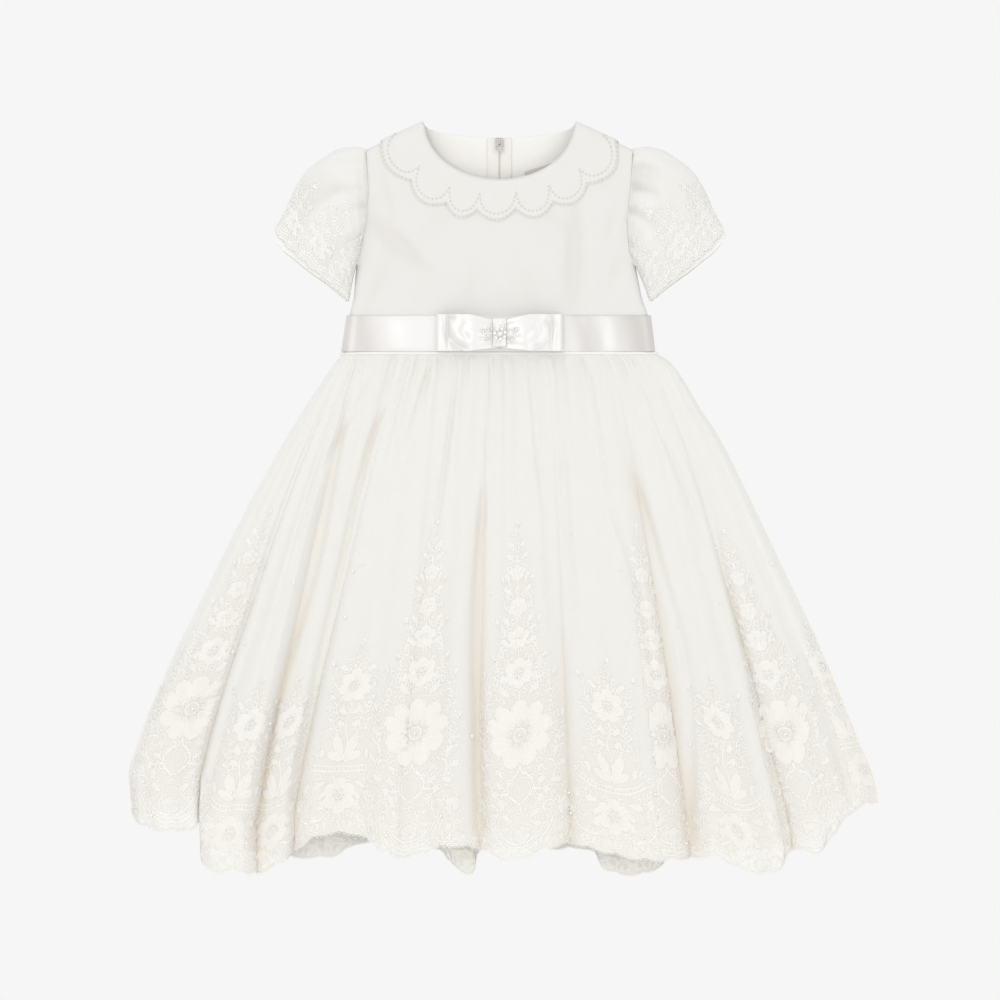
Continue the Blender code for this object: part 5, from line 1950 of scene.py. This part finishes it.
def make_label():
    """A blank label, a little askew, held by a row of stitches at each end."""
    middle = np.array([35.0, 284.0])
    half = np.array([15.0, 8.5])
    lean = math.radians(18)

    def place(x, y, height):
        east = middle[0] + x * math.cos(lean) - y * math.sin(lean)
        north = middle[1] + x * math.sin(lean) + y * math.cos(lean)
        return np.stack([east, north, TAPE_LOW + height], -1)

    s, t = crossed(shares(36), shares(20))
    x = half[0] * (2 * s - 1)
    y = half[1] * (2 * t - 1)
    curl = 0.18 * np.cos(2 * math.pi * s) + 0.12 * np.sin(3 * math.pi * t)
    piece = double_skin("neck_label_cloth", place(x, y, 0.75 + curl), place(x, y, 0.35 + curl), LABEL)
    dressed(piece, "neck_label")
    parts = []
    for end in (-1, 1):
        for spot in np.linspace(-0.86, 0.86, 8):
            across = end * half[0] * np.array([0.90, 0.93, 0.96])
            down = half[1] * spot + np.array([-0.45, 0.0, 0.45])
            parts.append(tube(place(across, down, np.array([0.95, 1.15, 0.95])), 0.16, 5))
    dressed(joined("neck_label_stitches", parts, STITCH))


# Seams

def make_waist_cord(surface):
    """The narrow piping between the ribbon and the skirt."""
    rise = 0.5
    radius = 1.3
    flatness = 0.6
    around = 8
    column = surface.points[4:-4:3, 1].copy()
    column[:, 1] = BELT_LOW_Y - radius
    column[:, 2] = smooth_run(column[:, 2], 9) + rise
    points, faces = tube(column, radius, around)
    level = np.repeat(column[:, 2], around)
    points[:, 2] = level + flatness * (points[:, 2] - level)
    dressed(new_mesh("waist_piping", points, faces, UNDER))


def smooth_run(values, width):
    padded = np.pad(values, width // 2, mode="edge")
    return np.convolve(padded, np.ones(width) / width, mode="valid")


def make_seams():
    """The ridge of each armhole seam, and the fine bound edge of the neck."""
    armhole = 0.8
    neck = 0.5
    sunk = 0.45
    parts = []
    for side in (-1, 1):
        y = np.linspace(UNDERARM_Y + 2, SHOULDER_Y - 1.5, 90)
        x = torso_edge(side, y) + side * 0.35
        for z in (torso(x - side * 2 * armhole, y, 1, 0.0)[:, 2] - sunk, BACK_LOW + 0 * x):
            parts.append(tube(np.stack([x, y, z], -1), armhole, 8))
    bound = (
        (1, NECK_FRONT_DEPTH, 183, 357),
        (-1, NECK_BACK_DEPTH, 184, 266),
        (-1, NECK_BACK_DEPTH, 274, 356),
    )
    for side, depth, first, last in bound:
        line = neck_curve(np.linspace(first, last, 120), depth)
        line = line + np.array([0.0, 0.3]) * side
        level = torso(line[:, 0], line[:, 1], side, PIECE - sunk)
        parts.append(tube(level, neck, 6))
    dressed(joined("seams", parts, CREPE))


def make_stage():
    """A plain pale surface that reads as the photo's even ground."""
    half = 3.0
    low = -0.0006
    pale = (0.922, 0.922, 0.922, 1.0)
    mesh = bpy.data.meshes.new("ground")
    corners = [(-half, -half, low), (half, -half, low), (half, half, low), (-half, half, low)]
    mesh.from_pydata(corners, [], [(0, 1, 2, 3)])
    ground = placed_object("ground", mesh)
    material, tree = new_material("pale_ground")
    tree.nodes.clear()
    out = tree.nodes.new("ShaderNodeOutputMaterial")
    glow = tree.nodes.new("ShaderNodeEmission")
    set_inputs(glow, Color=pale, Strength=1.0)
    tree.links.new(glow.outputs["Emission"], out.inputs["Surface"])
    mesh.materials.append(material)


# Square lamps that face the dress: the place and the size in metres, the power in watts
Lamp = namedtuple("Lamp", "name place size power")
LAMPS = [
    Lamp("key", (-1.6, 1.4, 2.7), 2.0, 17.0),
    Lamp("fill", (1.7, -0.5, 2.7), 2.0, 12.0),
    Lamp("sheen", (-0.75, 0.15, 3.0), 0.7, 4.0),
]


def make_light():
    scene = bpy.context.scene
    world = bpy.data.worlds.new("soft_room")
    world.use_nodes = True
    set_inputs(world.node_tree.nodes["Background"], Color=(1.0, 0.992, 0.98, 1.0), Strength=0.85)
    scene.world = world
    for row in LAMPS:
        data = bpy.data.lights.new(row.name, "AREA")
        data.shape = "SQUARE"
        data.size = row.size
        data.energy = row.power
        lamp = placed_object(row.name, data)
        lamp.location = row.place
        lamp.rotation_mode = "QUATERNION"
        lamp.rotation_quaternion = (-Vector(row.place)).to_track_quat("-Z", "Y")
    scene.view_settings.view_transform = "Standard"
    scene.view_settings.look = "None"


def make_camera():
    data = bpy.data.cameras.new("camera")
    data.sensor_width = SENSOR
    data.lens = SENSOR * (VIEW_HEIGHT - VIEW_LEVEL) / VIEW_WIDTH
    data.clip_start = 0.1
    data.clip_end = 50.0
    camera = placed_object("camera", data)
    camera.location = ((VIEW_X - ORIGIN_X) * MM, (VIEW_Y - ORIGIN_Y) * MM, VIEW_HEIGHT * MM)
    bpy.context.scene.camera = camera


# Each cloth as it was cut: its width and length around the cut, its flat area, how it is held, what it
# lies on or hangs from, and what is sewn on it
Cut = namedtuple("Cut", "piece width length area held rests_on sewn_on")


def finish_metal(frame):
    """The slider and its pull keep their solids and take a brushed finish."""
    for node in ("zip_slider", "zip_pull"):
        item = frame["nodes"][node]
        item.data.materials.clear()
        item.data.materials.append(METAL)


def clear_startup():
    for item in list(bpy.data.objects):
        bpy.data.objects.remove(item, do_unlink=True)


def main():
    clear_startup()
    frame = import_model()
    finish_metal(frame)
    make_bodice_front()
    make_bodice_back(-1, "bodice_back_left")
    make_bodice_back(1, "bodice_back_right")
    make_collar()
    make_collar_stitches()
    make_belt()
    beads = Beads()
    for side, node in ((-1, "sleeve_left"), (1, "sleeve_right")):
        make_sleeve(side, node, beads)
    front = skirt_front_surface()
    lace_on(front, FRONT_MOTIFS, "skirt_front_lace", beads, 7.4)
    make_skirt_cloth(front, "skirt_front")
    back = skirt_back_surface()
    lace_on(back, BACK_MOTIFS, "skirt_back_lace", None, 9.0, THROUGH_CLOTH)
    make_skirt_cloth(back, "skirt_back")
    scatter_sequins(front, beads, 61, 90)
    beads.make("lace_pearls", "organza")
    make_lining()
    make_waist_cord(front)
    make_bow_loop(-1, "bow_left")
    make_bow_loop(1, "bow_right")
    make_bow_knot()
    make_bead_flower()
    make_zip_tape(-1, "zip_tape_left")
    make_zip_tape(1, "zip_tape_right")
    make_zip_coil()
    make_label()
    make_seams()
    make_stage()
    make_light()
    make_camera()


main()
